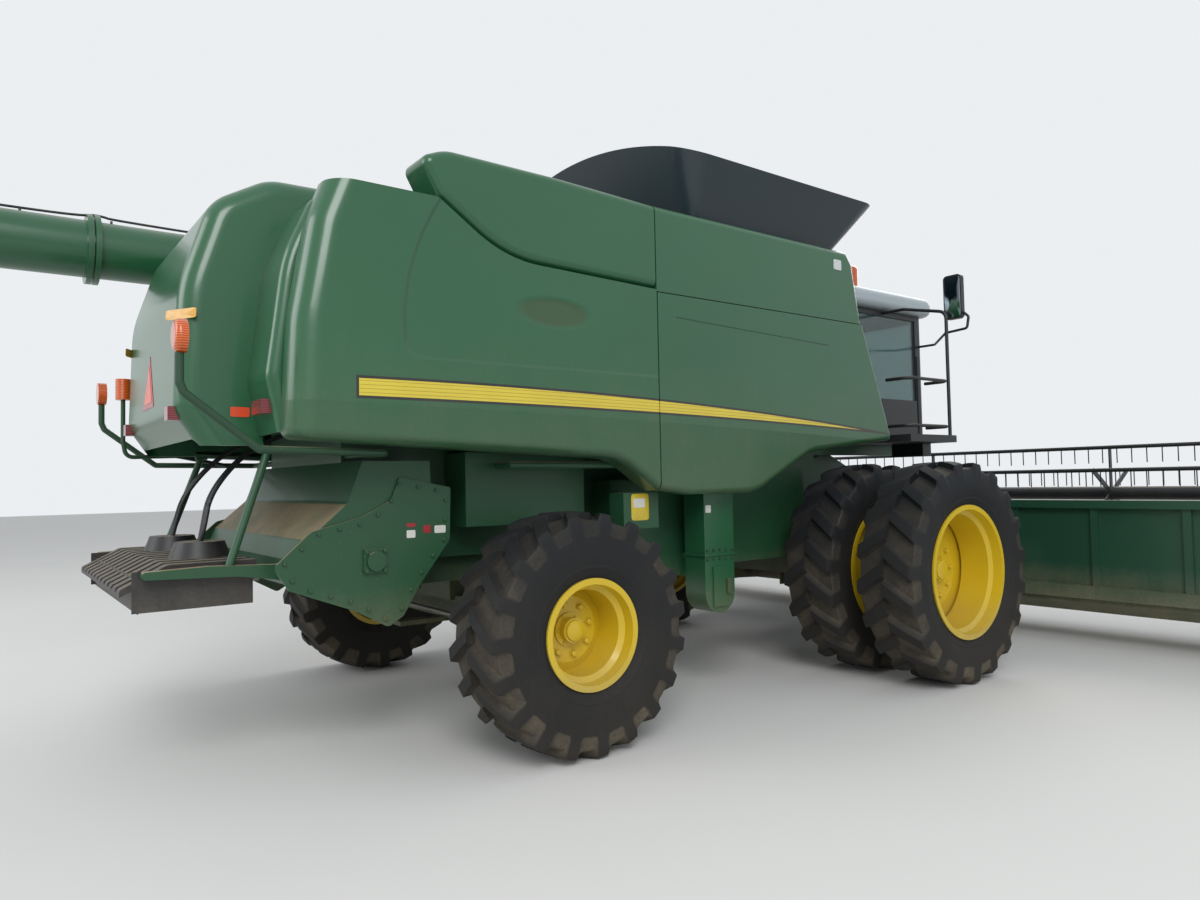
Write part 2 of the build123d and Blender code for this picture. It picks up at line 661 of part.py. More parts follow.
with BuildPart() as upper_sides:
    for points in (fairing, tank_side):
        extrude(outline(side_plane(-left_wall_y), points), amount=UPPER_SIDE_Y - left_wall_y)
    high = [
        e for e in upper_sides.edges()
        if abs(e.center().Y + UPPER_SIDE_Y) < 1 and e.center().Z > UPPER_SIDE_TOP - 20
    ]
    fillet(high, 60)
    # The hollow behind each panel: (stations, height of its floor)
    for x, low in (((-3935, rear_seam - 160), 3315), ((front_seam + 140, -240), 3290)):
        block(x, (-left_wall_y + 1, -UPPER_SIDE_Y + 90), (low, UPPER_SIDE_TOP - 60), mode=Mode.SUBTRACT)
    block((-4400, -60), (left_wall_y, left_wall_y + PANEL_WALL), (ledge_z[0], DECK_TOP))
    block((front_seam + PANEL_GAP, -60), (left_wall_y, BODY_Y - PANEL_WALL - RUNNING), ledge_z)
save(upper_sides.part, "upper_sides")

# Engine deck behind the grain tank
with BuildPart() as engine_deck:
    block(
        (HOOD_FRONT + FIT, TANK_REAR - FIT), (-TANK_HALF_WIDTH, TANK_HALF_WIDTH),
        (DECK_TOP - DECK_WALL, DECK_TOP),
    )
save(engine_deck.part, "engine_deck")

# Grain tank: a hopper that narrows to the cross augers, open on top
with BuildPart() as grain_tank:
    outer = [
        (-TANK_HALF_WIDTH, TANK_TOP), (-TANK_HALF_WIDTH, TANK_KNEE), (-TANK_FLOOR_HALF, TANK_FLOOR),
        (TANK_FLOOR_HALF, TANK_FLOOR), (TANK_HALF_WIDTH, TANK_KNEE), (TANK_HALF_WIDTH, TANK_TOP),
    ]
    extrude(outline(cross_plane(TANK_REAR), outer), amount=TANK_FRONT - TANK_REAR)
    inside = TANK_HALF_WIDTH - TANK_WALL
    inner_floor = TANK_FLOOR + TANK_WALL + 10
    inner_half = TANK_FLOOR_HALF - 20
    hollow = [
        (-inside, TANK_TOP + 10), (-inside, TANK_KNEE), (-inner_half, inner_floor),
        (inner_half, inner_floor), (inside, TANK_KNEE), (inside, TANK_TOP + 10),
    ]
    extrude(
        outline(cross_plane(TANK_REAR + TANK_WALL), hollow),
        amount=TANK_FRONT - TANK_REAR - 2 * TANK_WALL, mode=Mode.SUBTRACT,
    )
save(grain_tank.part, "grain_tank")

# Tank extension: flared walls with rounded corners, the rear one crowned
loft_top = EXTENSION_CROWN + 45


def flare(wall, height):
    """Rounded rectangle of the extension at a height, set in by a wall."""
    share = (height - TANK_TOP) / (EXTENSION_RIM - TANK_TOP)
    rear = TANK_REAR + (EXTENSION_REAR - TANK_REAR) * share + wall
    front = TANK_FRONT + (EXTENSION_FRONT - TANK_FRONT) * share - wall
    half = TANK_HALF_WIDTH + (EXTENSION_HALF_WIDTH - TANK_HALF_WIDTH) * share - wall
    with BuildSketch(plan_plane(height)) as ring:
        with Locations(((rear + front) / 2, 0)):
            RectangleRounded(front - rear, 2 * half, 120 + 120 * share - wall)
    return ring.sketch


rise = EXTENSION_CROWN - EXTENSION_RIM
bow = (rise**2 + EXTENSION_HALF_WIDTH**2) / (2 * rise)
wide = 2 * EXTENSION_HALF_WIDTH
with BuildPart() as tank_extension:
    loft([flare(0, TANK_TOP), flare(0, loft_top)], ruled=True)
    loft([flare(EXTENSION_WALL, TANK_TOP), flare(EXTENSION_WALL, loft_top)], ruled=True, mode=Mode.SUBTRACT)
    with BuildSketch(cross_plane(EXTENSION_REAR - 400)) as above:
        with Locations((0, EXTENSION_RIM + wide / 4)):
            Rectangle(2 * wide, wide / 2)
        with Locations((0, EXTENSION_CROWN - bow)):
            Circle(bow, mode=Mode.SUBTRACT)
    extrude(above.sketch, amount=1000, mode=Mode.SUBTRACT)
    block(
        (EXTENSION_REAR + 600, EXTENSION_FRONT + 500), (-wide, wide), (EXTENSION_RIM, loft_top + 10),
        mode=Mode.SUBTRACT,
    )
save(tank_extension.part, "tank_extension")

# Turret that carries the unloading auger at the tank's left front corner
turret_top = AUGER_Z - AUGER_RADIUS - 30
with BuildPart() as auger_turret:
    block(
        (AUGER_PIVOT_X - 240, AUGER_PIVOT_X + 240), (left_wall_y + PANEL_WALL + FIT, AUGER_Y + 100),
        (ledge_z[1], turret_top - 60),
    )
    post(AUGER_PIVOT_X, AUGER_Y, (ledge_z[1] + 40, turret_top), AUGER_RADIUS - 20)
save(auger_turret.part, "auger_turret")

with BuildPart() as unloading_auger:
    post(AUGER_PIVOT_X, AUGER_Y, (turret_top + FIT, AUGER_Z), AUGER_RADIUS)
    with Locations((FRONT_AXLE_X + AUGER_PIVOT_X, AUGER_Y, AUGER_Z)):
        Sphere(AUGER_RADIUS)
    tube([(AUGER_PIVOT_X, AUGER_Y, AUGER_Z), (AUGER_TIP_X + 160, AUGER_Y, AUGER_Z)], AUGER_RADIUS, 0)
    for station in (BAND_X, BAND_X - BAND_WIDTH - 12):
        tube([(station, AUGER_Y, AUGER_Z), (station - BAND_WIDTH, AUGER_Y, AUGER_Z)], BAND_RADIUS, 0)
    spout = [
        (AUGER_TIP_X + 520, AUGER_Z + 60), (AUGER_TIP_X + 160, AUGER_Z + 245, 120),
        (AUGER_TIP_X, AUGER_Z + 60, 120), (AUGER_TIP_X, AUGER_Z - 330), (AUGER_TIP_X + 330, AUGER_Z - 330),
    ]
    extrude(outline(side_plane(AUGER_Y + SPOUT_HALF_WIDTH), spout), amount=2 * SPOUT_HALF_WIDTH)
save(unloading_auger.part, "unloading_auger")

# Cab: hollow shell with floor, posts and rear wall, its windows cut
with BuildPart() as cab_shell:
    inside = CAB_HALF_WIDTH - CAB_WALL
    block((CAB_REAR, CAB_FRONT), (-CAB_HALF_WIDTH, CAB_HALF_WIDTH), (CAB_FLOOR, CAB_TOP))
    fillet(cab_shell.edges().filter_by(Axis.Z).sort_by(Axis.X)[-2:], 90)
    block(
        (CAB_REAR + CAB_WALL, CAB_FRONT - CAB_WALL), (-inside, inside), (CAB_FLOOR + CAB_WALL, CAB_TOP + 10),
        mode=Mode.SUBTRACT,
    )
    # (stations, widths, heights) of the windscreen, the rear window, the door and the right window
    windows = [
        ((CAB_FRONT - 200, CAB_FRONT + 10), (-800, 800), (CAB_FLOOR + 120, CAB_TOP - 60)),
        ((CAB_REAR - 10, CAB_REAR + 100), (-700, 700), (CAB_FLOOR + 900, CAB_TOP - 60)),
        ((DOOR_REAR, DOOR_FRONT), (CAB_HALF_WIDTH - 100, CAB_HALF_WIDTH + 10), (DOOR_FOOT, DOOR_HEAD)),
        (
            (CAB_REAR + 200, CAB_FRONT - 160), (-CAB_HALF_WIDTH - 10, -CAB_HALF_WIDTH + 100),
            (CAB_FLOOR + 500, CAB_TOP - 60),
        ),
    ]
    for x, y, z in windows:
        block(x, y, z, mode=Mode.SUBTRACT)
save(cab_shell.part, "cab_shell")

# Cab roof: a soffit that stands out past the walls under a crowned top
with BuildPart() as cab_roof:
    block(
        (CAB_REAR - 60, CAB_FRONT + ROOF_OVERHANG), (-CAB_HALF_WIDTH - ROOF_EDGE, CAB_HALF_WIDTH + ROOF_EDGE),
        (CAB_TOP + FIT, CAB_TOP + ROOF_HEIGHT),
    )
    fillet(cab_roof.edges().filter_by(Axis.Z), 170)
    fillet(cab_roof.faces().sort_by(Axis.Z)[-1].edges(), 90)
    fillet(cab_roof.faces().sort_by(Axis.Z)[0].edges(), 70)
save(cab_roof.part, "cab_roof")

with BuildPart() as cab_glass:
    for x, y, z in (windows[0], windows[1], windows[3]):
        if y[0] < -CAB_HALF_WIDTH:
            glass_y = (-CAB_HALF_WIDTH + 20, -CAB_HALF_WIDTH + 20 + GLASS_WALL)
            block((x[0] + FIT, x[1] - FIT), glass_y, (z[0] + FIT, z[1] - FIT))
        else:
            start = CAB_FRONT - CAB_WALL + 10 if x[1] > CAB_FRONT else CAB_REAR + 20
            block((start, start + GLASS_WALL), (y[0] + FIT, y[1] - FIT), (z[0] + FIT, z[1] - FIT))
save(cab_glass.part, "cab_glass")

# Cab door, hinged at its rear edge
door_y = CAB_HALF_WIDTH - CAB_WALL
frame_x = (DOOR_REAR + RUNNING, DOOR_FRONT - RUNNING)
frame_z = (DOOR_FOOT + RUNNING, DOOR_HEAD - RUNNING)
pane_x = (frame_x[0] + 60, frame_x[1] - 60)
pane_z = (frame_z[0] + 90, frame_z[1] - 60)
with BuildPart() as cab_door:
    block(frame_x, (door_y, CAB_HALF_WIDTH), frame_z)
    block(pane_x, (door_y - 10, CAB_HALF_WIDTH + 10), pane_z, mode=Mode.SUBTRACT)
    for height in (2300, 2800, 3300):
        hinge_y = CAB_HALF_WIDTH + DOOR_HINGE_RADIUS
        post(frame_x[0], hinge_y, (height, height + 90), DOOR_HINGE_RADIUS - FIT)
        block(
            (frame_x[0], frame_x[0] + 45), (CAB_HALF_WIDTH - 1, hinge_y), (height, height + 90)
        )
save(cab_door.part, "cab_door")
with BuildPart() as door_glass:
    block(
        (pane_x[0] + FIT, pane_x[1] - FIT), (door_y + 20, door_y + 20 + GLASS_WALL),
        (pane_z[0] + FIT, pane_z[1] - FIT),
    )
save(door_glass.part, "door_glass")

# Operator's seat, steering column and arm console
with BuildPart() as operator_station:
    floor = CAB_FLOOR + CAB_WALL
    block((800, 1100), (-160, 160), (floor, floor + 330))
    block((720, 1200), (-240, 240), (floor + 330, floor + 460))
    block((640, 760), (-230, 230), (floor + 460, floor + 1050))
    block((760, 1250), (-400, -260), (floor + 480, floor + 555))
    block((800, 860), (-300, -200), (floor + 400, floor + 500))
    column = [(1480, 0, floor), (1480, 0, floor + 300), (1352, 0, floor + 720)]
    tube(column, 35, 120)
    with Locations(Location((FRONT_AXLE_X + 1355, 0, floor + 710), (0, -17, 0))):
        Torus(180, 14)
        Cylinder(170, 10)
save(operator_station.part, "operator_station")

# Platforms beside the cab with their lamp boxes and rails
deck_z = (PLATFORM_TOP - PLATFORM_WALL, PLATFORM_TOP)
cab_side = CAB_HALF_WIDTH + FIT
with BuildPart() as platforms:
    block((480, 1290), (-1700, -cab_side), deck_z)
    block((1130, 1280), (-1420, -1060), (deck_z[0] - 130, deck_z[0] + 1))
    block((420, 1980), (cab_side, 1800), deck_z)
    # Each rail is one bent tube
    rails = [
        [(700, -1660, PLATFORM_TOP - 5), (700, -1660, 2900)],
        [(1240, -1660, PLATFORM_TOP - 5), (1240, -1660, 3400), (1240, -1180, 3510), (1240, -cab_side, 3510)],
        [(560, -1400, 2690), (560, -1660, 2690), (1240, -1660, 2690), (1240, -1400, 2690)],
        [(560, -1400, 2230), (560, -1660, 2230), (1240, -1660, 2230), (1240, -1400, 2230)],
        [(470, 1760, PLATFORM_TOP - 5), (470, 1760, 3120), (800, 1760, 3120), (800, 1760, PLATFORM_TOP - 5)],
        [(470, 1760, 2640), (800, 1760, 2640)],
        [
            (1720, 1760, PLATFORM_TOP - 5), (1720, 1760, 3120),
            (1950, 1760, 3120), (1950, 1760, PLATFORM_TOP - 5),
        ],
    ]
    for rail in rails:
        tube(rail, RAIL_TUBE, 90)
save(platforms.part, "platforms")

# Ladder in front of the left drive wheels
with BuildPart() as ladder:
    outer_y = 1800 + FIT
    for x in (1180, 1640):
        block((x - 20, x + 20), (outer_y, outer_y + 90), (480, PLATFORM_TOP))
    for step in range(5):
        block((1180, 1640), (outer_y, outer_y + 150), (520 + 310 * step, 550 + 310 * step))
    for x in (1150, 1670):
        rail = [
            (x, outer_y + 60, 1100), (x, outer_y + 180, 1200),
            (x, outer_y + 180, 2300), (x, outer_y + 60, 2420),
        ]
        tube(rail, 14, 60)
        block((x - 10, x + 30 if x < 1400 else x + 10), (outer_y + 30, outer_y + 75), (1085, 1115))
save(ladder.part, "ladder")

# Mirrors on arms from the cab's front corners
with BuildPart() as mirrors:
    for side, sign in SIDES:
        arm = [
            (1875, CAB_HALF_WIDTH + FIT, 3190), (1875, 1150, 3190), (1330, 1600, 3200), (1330, 1830, 3215),
            (1330, 1850, 3330), (1330, 1760, 3420),
        ]
        tube(mirrored(arm, sign), 13, 30)
        with BuildSketch(cross_plane(1300)) as glass:
            with Locations((sign * 1700, 3550)):
                RectangleRounded(190, 450, 40)
        extrude(glass.sketch, amount=60)
save(mirrors.part, "mirrors")

# Lamp arms behind the body, and the beacon post on the left
with BuildPart() as lamp_arms:
    for side, sign in SIDES:
        arm = [
            (-4660, SEPARATOR_HALF_WIDTH + FIT, 1940), (-4660, 1440, 1940), (-5420, 1560, 1950),
            (-5790, 1560, 2240), (-5810, 1560, 2290), (-5810, 1560, 2440),
        ]
        tube(mirrored(arm, sign), 22, 25)
    beacon = [
        (-4900, 1460, 1945), (-5350, 1080, 2010), (-5700, 1080, 2000), (-5720, 1080, 2120),
        (-5720, 1080, 2440),
    ]
    tube(beacon, 16, 60)
save(lamp_arms.part, "lamp_arms")

# Amber lamps: one at each arm's tip, the rear beacon, the cab beacon
with BuildPart() as amber_lamps:
    for side, sign in SIDES:
        with Locations(Location((FRONT_AXLE_X - 5810, sign * 1560, 2440 + FIT + 88), (0, 90, 0))):
            Cylinder(88, 60)
    post(-5720, 1080, (2440 + FIT, 2600), 52)
    fillet(amber_lamps.edges().filter_by(GeomType.CIRCLE).sort_by(Axis.Z)[-1:], 30)
    post(780, -870, (CAB_TOP + ROOF_HEIGHT + FIT, CAB_TOP + ROOF_HEIGHT + 230), 68)
    fillet(amber_lamps.edges().filter_by(GeomType.CIRCLE).sort_by(Axis.Z)[-1:], 45)
save(amber_lamps.part, "amber_lamps")

# Red tail lamps, flush on the hood's back
with BuildPart() as tail_lamps:
    for side, sign in SIDES:
        block((-5745, -5600), (sign * 760, sign * 860), (2150, 2230))
        block((-5345, -5200), (sign * 1110, sign * 1310), (2170, 2250))
    add(hump_outside.part, mode=Mode.SUBTRACT)
    add(shoulder_outside.part, mode=Mode.SUBTRACT)
save(tail_lamps.part, "tail_lamps")

# Clean grain elevator on the right, with its rounded boot, joint band and small door
elevator_x = (-1980, -1650)
elevator_y = (-1400, -1170)
with BuildPart() as grain_elevator:
    middle = sum(elevator_x) / 2
    half = (elevator_x[1] - elevator_x[0]) / 2
    leg = [
        (elevator_x[0], 2850), (elevator_x[0], 670, half - 5),
        (elevator_x[1], 670, half - 5), (elevator_x[1], 2850),
    ]
    extrude(outline(side_plane(elevator_y[1]), leg), amount=elevator_y[1] - elevator_y[0])
    block(
        (elevator_x[0] - 14, elevator_x[1] + 14), (elevator_y[0] - 14, elevator_y[1] + 14), (1128, 1146)
    )
    block((middle - 85, middle + 85), (elevator_y[0] - 16, elevator_y[0] + 1), (720, 1040))
    block(
        (middle - 110, middle + 110), (elevator_y[1] - 1, -SHOE_HALF_WIDTH - FIT),
        (SHOE_FLOOR, SHOE_FLOOR + 170),
    )
save(grain_elevator.part, "grain_elevator")

# Chopper: two side plates, a drum housing between them, a dusty chute above
# Each corner is (station, height, rounding)
side_plate = [
    (-5030, 1475, 60), (-4710, 1555, 150), (-4530, 1645, 60), (-4470, 1795, 20), (-4110, 1725, 20),
    (-4120, 1380, 60), (-4330, 1110, 40), (-4450, 915, 40), (-4550, 855, 40), (-4760, 975, 100),
    (-5160, 1135, 40), (-5250, 1275, 40),
]
drum_housing = [
    (HOUSING_REAR, 1300, 0), (-5050, 1420, 40), (-4800, 1640, 60), (-4705, 1900, 0), (-4250, 1900, 0),
    (-4230, 1420, 60), (-4420, 1010, 200), (-4760, 1010, 250), (HOUSING_REAR, 1160, 0),
]
with BuildPart() as chopper_housing:
    inner = CHOPPER_HALF_WIDTH - CHOPPER_SHEET
    for side, sign in SIDES:
        extrude(outline(side_plane(sign * inner), side_plate), amount=-sign * CHOPPER_SHEET)
        cross_bar(CHOPPER_SHAFT_X, CHOPPER_SHAFT_Z, (sign * inner, sign * (CHOPPER_HALF_WIDTH + 45)), 60)
        block(
            (CHOPPER_SHAFT_X - 75, CHOPPER_SHAFT_X + 75), (sign * inner, sign * (CHOPPER_HALF_WIDTH + 18)),
            (CHOPPER_SHAFT_Z - 75, CHOPPER_SHAFT_Z + 75),
        )
    extrude(outline(side_plane(inner + 1), drum_housing), amount=2 * inner + 2)
    clear_y = SEPARATOR_HALF_WIDTH + FIT
    block(
        (SEPARATOR_REAR - FIT, -4000), (-clear_y, clear_y), (FRAME_TOP - RAIL_DEPTH - FIT, 3000),
        mode=Mode.SUBTRACT,
    )
save(chopper_housing.part, "chopper_housing")

# Spreader frame: two side arms, a cross member and two struts up to the hood
member_x = (SPREADER_X - 40, SPREADER_X + 40)
arm_front = HOUSING_REAR - FIT
with BuildPart() as spreader_frame:
    arm_view = [
        (arm_front, SPREADER_TOP - 10, 0), (-5560, SPREADER_TOP + 10, 300), (-5900, SPREADER_TOP, 18),
        (-5900, SPREADER_TOP - 42, 18), (-5400, SPREADER_TOP - 60, 300), (arm_front, SPREADER_TOP - 110, 0),
    ]
    for side, sign in SIDES:
        extrude(outline(side_plane(sign * (SPREADER_ARM_Y - 40)), arm_view), amount=-sign * 80)
        foot_y = HUMP_HALF_WIDTH - HOOD_WALL / 2
        strut = [(-5450, SPREADER_ARM_Y, SPREADER_TOP - 20), (-5200, foot_y, 1988)]
        tube(mirrored(strut, sign), 24, 0)
        block((-5240, -5160), (sign * (foot_y - 40), sign * (foot_y + 17)), (1976, 2000 - FIT))
        block(
            (arm_front - 35, arm_front), (sign * (SPREADER_ARM_Y - 70), sign * (SPREADER_ARM_Y + 70)),
            (SPREADER_TOP - 115, SPREADER_TOP + 5),
        )
    block(member_x, (-SPREADER_ARM_Y, SPREADER_ARM_Y), (SPREADER_TOP - 50, SPREADER_TOP - 8 - FIT))
    for side, sign in SIDES:
        # Shaft stubs that the discs hang on
        post(SPREADER_X, sign * SPREADER_DISC_Y, (SPREADER_TOP - 72, SPREADER_TOP - 45), 45)
save(spreader_frame.part, "spreader_frame")

# Spreader cover: a ribbed guard over the discs with two motor domes and a hanging skirt
RIBS = 12
with BuildPart() as spreader_cover:
    cover = [
        (-5280, SPREADER_TOP + 12, 0), (-5760, SPREADER_TOP + 12, 60), (-6000, SPREADER_TOP - 110, 20),
        (-6000, SPREADER_TOP - 135, 0), (-5750, SPREADER_TOP - 8, 60), (-5280, SPREADER_TOP - 8, 0),
    ]
    cover_half = SPREADER_ARM_Y - 40 - RUNNING
    rib_pitch = 2 * cover_half / (RIBS - 0.4)
    for rib in range(RIBS):
        y = -cover_half + rib * rib_pitch
        raised = [(x, z + 16 if z > SPREADER_TOP - 112 else z, r) for x, z, r in cover]
        extrude(outline(side_plane(y + 0.6 * rib_pitch), raised), amount=0.6 * rib_pitch)
    extrude(outline(side_plane(cover_half), cover), amount=2 * cover_half)
    for side, sign in SIDES:
        with BuildSketch(plan_plane(SPREADER_TOP)) as foot:
            with Locations((SPREADER_X + 10, sign * SPREADER_DISC_Y)):
                Circle(190)
        with BuildSketch(plan_plane(SPREADER_TOP + 125)) as crown:
            with Locations((SPREADER_X + 10, sign * SPREADER_DISC_Y)):
                Circle(145)
        loft([foot.sketch, crown.sketch])
    for side, sign in SIDES:
        skirt = (sign * (cover_half - 6), sign * cover_half)
        block((-5940, -5300), skirt, (SPREADER_TOP - 230, SPREADER_TOP))
    block((-5912, -5906), (-cover_half, cover_half), (SPREADER_TOP - 235, SPREADER_TOP - 40))
    block(
        (member_x[0] - RUNNING, member_x[1] + RUNNING), (-SPREADER_ARM_Y, SPREADER_ARM_Y),
        (SPREADER_TOP - 60, SPREADER_TOP - 8), mode=Mode.SUBTRACT,
    )
save(spreader_cover.part, "spreader_cover")

for side, sign in SIDES:
    with BuildPart() as spreader_disc:
        centre = (SPREADER_X, sign * SPREADER_DISC_Y)
        post(*centre, (SPREADER_TOP - 110, SPREADER_TOP - 102), SPREADER_DISC_RADIUS)
        post(*centre, (SPREADER_TOP - 112, SPREADER_TOP - 72 - FIT), 60)
        for blade in range(6):
            angle = 60 * blade
            hub = (FRONT_AXLE_X + SPREADER_X, sign * SPREADER_DISC_Y, SPREADER_TOP - 132)
            with Locations(Location(hub, (0, 0, angle))):
                with Locations((SPREADER_DISC_RADIUS * 0.62, 0, 0)):
                    Box(SPREADER_DISC_RADIUS * 0.7, 10, 46)
    save(spreader_disc.part, f"spreader_disc_{side}")

# Feeder house: a sloping trunk with a mouth at the header, stiffeners and pivot bosses
with BuildPart() as feeder_house:
    feeder = [
        (FEEDER_PIVOT_X - 60, 1930, 60), (FEEDER_PIVOT_X + 200, 2000, 60), (HEADER_BACK_X - FIT, 1200, 0),
        (HEADER_BACK_X - FIT, 400, 0), (FEEDER_PIVOT_X + 100, 1330, 60), (FEEDER_PIVOT_X - 60, 1500, 60),
    ]
    extrude(outline(side_plane(FEEDER_HALF_WIDTH), feeder), amount=2 * FEEDER_HALF_WIDTH)
    block((HEADER_BACK_X - 320, HEADER_BACK_X), (-650, 650), (470, 1140), mode=Mode.SUBTRACT)
    for side, sign in SIDES:
        boss_y = (sign * (FEEDER_HALF_WIDTH - 5), sign * (FEEDER_HALF_WIDTH + 36))
        cross_bar(FEEDER_PIVOT_X, FEEDER_PIVOT_Z, boss_y, 90)
        cross_bar(
            FEEDER_PIVOT_X, FEEDER_PIVOT_Z, (sign * (FEEDER_HALF_WIDTH + 5), sign * (FEEDER_HALF_WIDTH + 40)),
            50 + FIT, mode=Mode.SUBTRACT,
        )
        for ear in (LIFT_Y - 62, LIFT_Y + 40):
            block(
                (LIFT_EYE_X - 45, LIFT_EYE_X + 45), (sign * ear, sign * (ear + 22)),
                (LIFT_EYE_Z - 45, LIFT_EYE_Z + 120),
            )
        cross_bar(LIFT_EYE_X, LIFT_EYE_Z, (sign * (LIFT_Y - 62), sign * (LIFT_Y + 62)), LIFT_PIN_RADIUS)
        for x in (900, 1500, 2100):
            block(
                (x, x + 30), (sign * (FEEDER_HALF_WIDTH - 1), sign * (FEEDER_HALF_WIDTH + 25)),
                (1360 - 0.5 * (x - 400) + 40, 1850 - 0.43 * (x - 500)),
            )
save(feeder_house.part, "feeder_house")

# Lift cylinders: barrels on the axle, rods whose eyes reach the feeder house's pins
reach = hypot(LIFT_EYE_X - LIFT_BASE_X, LIFT_EYE_Z - LIFT_BASE_Z)
lean = ((LIFT_EYE_X - LIFT_BASE_X) / reach, (LIFT_EYE_Z - LIFT_BASE_Z) / reach)


def along_lift(y, distance):
    """Plane square to the lift cylinder at a distance from its base pin."""
    x = FRONT_AXLE_X + LIFT_BASE_X + lean[0] * distance
    return Plane(origin=(x, y, LIFT_BASE_Z + lean[1] * distance), z_dir=(lean[0], 0, lean[1]))


def lift_bar(y, start, length, radius, mode=Mode.ADD):
    """A round bar along the lift cylinder."""
    with BuildSketch(along_lift(y, start)) as ring:
        Circle(radius)
    extrude(ring.sketch, amount=length, mode=mode)


with BuildPart() as lift_barrels:
    for side, sign in SIDES:
        y = sign * LIFT_Y
        cross_bar(LIFT_BASE_X, LIFT_BASE_Z, (y - 34, y + 34), LIFT_PIN_RADIUS + 22)
        lift_bar(y, 30, LIFT_BARREL_LENGTH, LIFT_BARREL_RADIUS)
        lift_bar(y, 120, LIFT_BARREL_LENGTH, LIFT_ROD_RADIUS + FIT, mode=Mode.SUBTRACT)
        cross_bar(
            LIFT_BASE_X, LIFT_BASE_Z, (y - 40, y + 40), LIFT_PIN_RADIUS + FIT, mode=Mode.SUBTRACT
        )
save(lift_barrels.part, "lift_barrels")

with BuildPart() as lift_rods:
    for side, sign in SIDES:
        y = sign * LIFT_Y
        lift_bar(y, 500, reach - 530, LIFT_ROD_RADIUS)
        eye = LIFT_PIN_RADIUS + LIFT_EYE_PLAY
        cross_bar(LIFT_EYE_X, LIFT_EYE_Z, (y - 34, y + 34), eye + 18)
        cross_bar(LIFT_EYE_X, LIFT_EYE_Z, (y - 40, y + 40), eye, mode=Mode.SUBTRACT)
save(lift_rods.part, "lift_rods")

# Header: back sheet, auger trough and floor between two end sheets with pointed dividers
trough = CROSS_AUGER_RADIUS + 25
sheet_y = HEADER_HALF_WIDTH - END_SHEET
with BuildPart() as header_frame:
    with BuildSketch(side_plane(HEADER_HALF_WIDTH)) as pan:
        with BuildLine():
            Polyline(
                (KNIFE_X, HEADER_FLOOR - 30), (KNIFE_X, HEADER_FLOOR - 30 + HEADER_SHEET),
                (CROSS_AUGER_X, CROSS_AUGER_Z - trough),
            )
            ThreePointArc(
                (CROSS_AUGER_X, CROSS_AUGER_Z - trough),
                (CROSS_AUGER_X - trough * cos(pi / 4), CROSS_AUGER_Z - trough * sin(pi / 4)),
                (CROSS_AUGER_X - trough, CROSS_AUGER_Z),
            )
            Polyline(
                (CROSS_AUGER_X - trough, CROSS_AUGER_Z), (HEADER_BACK_X + 40, HEADER_TOP - 60),
                (HEADER_BACK_X + 40, HEADER_TOP), (HEADER_BACK_X, HEADER_TOP), (HEADER_BACK_X, 420),
                (CROSS_AUGER_X - 200, 300), (KNIFE_X, HEADER_FLOOR - 30),
            )
        make_face()
    extrude(pan.sketch, amount=2 * HEADER_HALF_WIDTH)
    end_sheet = [
        (HEADER_BACK_X, REEL_Z + 60, 50), (HEADER_BACK_X, 420, 60), (CROSS_AUGER_X - 200, 300, 100),
        (3700, 260, 100), (DIVIDER_TIP_X, 300, 12), (3500, 720, 200), (2900, 1250, 150),
        (REEL_ARM_PIVOT_X + 90, REEL_Z + 60, 60),
    ]
    for side, sign in SIDES:
        extrude(outline(side_plane(sign * sheet_y), end_sheet), amount=-sign * END_SHEET)
    # Top and bottom beams and the upright stiffeners behind the back sheet
    block(
        (HEADER_BACK_X - 75, HEADER_BACK_X + 1), (-HEADER_HALF_WIDTH, HEADER_HALF_WIDTH),
        (HEADER_TOP - 80, HEADER_TOP),
    )
    block((HEADER_BACK_X - 60, HEADER_BACK_X + 1), (-HEADER_HALF_WIDTH, -760), (470, 600))
    block((HEADER_BACK_X - 60, HEADER_BACK_X + 1), (760, HEADER_HALF_WIDTH), (470, 600))
    for side, sign in SIDES:
        for y in (900, 1700, 2500, 3300, 4100):
            block(
                (HEADER_BACK_X - 40, HEADER_BACK_X + 1), (sign * y, sign * (y + 70)),
                (470, HEADER_TOP - 10),
            )
    block((HEADER_BACK_X - 100, CROSS_AUGER_X), (-640, 640), (480, 1150), mode=Mode.SUBTRACT)
save(header_frame.part, "header_frame")

# Knife bar with its row of guards
with BuildPart() as knife_bar:
    bar_z = (HEADER_FLOOR - 30, HEADER_FLOOR - 12)
    block((KNIFE_X + FIT, KNIFE_X + 45), (-sheet_y + FIT, sheet_y - FIT), bar_z)
    guards = int(2 * sheet_y / GUARD_SPACING)
    with BuildSketch(plan_plane(bar_z[0])) as points:
        with Locations((KNIFE_X + 44, 0)):
            with GridLocations(1, GUARD_SPACING, 1, guards):
                finger = [(0, -18), (GUARD_LENGTH, -4), (GUARD_LENGTH, 4), (0, 18)]
                Polygon(*finger, align=(Align.MIN, Align.CENTER))
    extrude(points.sketch, amount=bar_z[1] - bar_z[0])
save(knife_bar.part, "knife_bar")

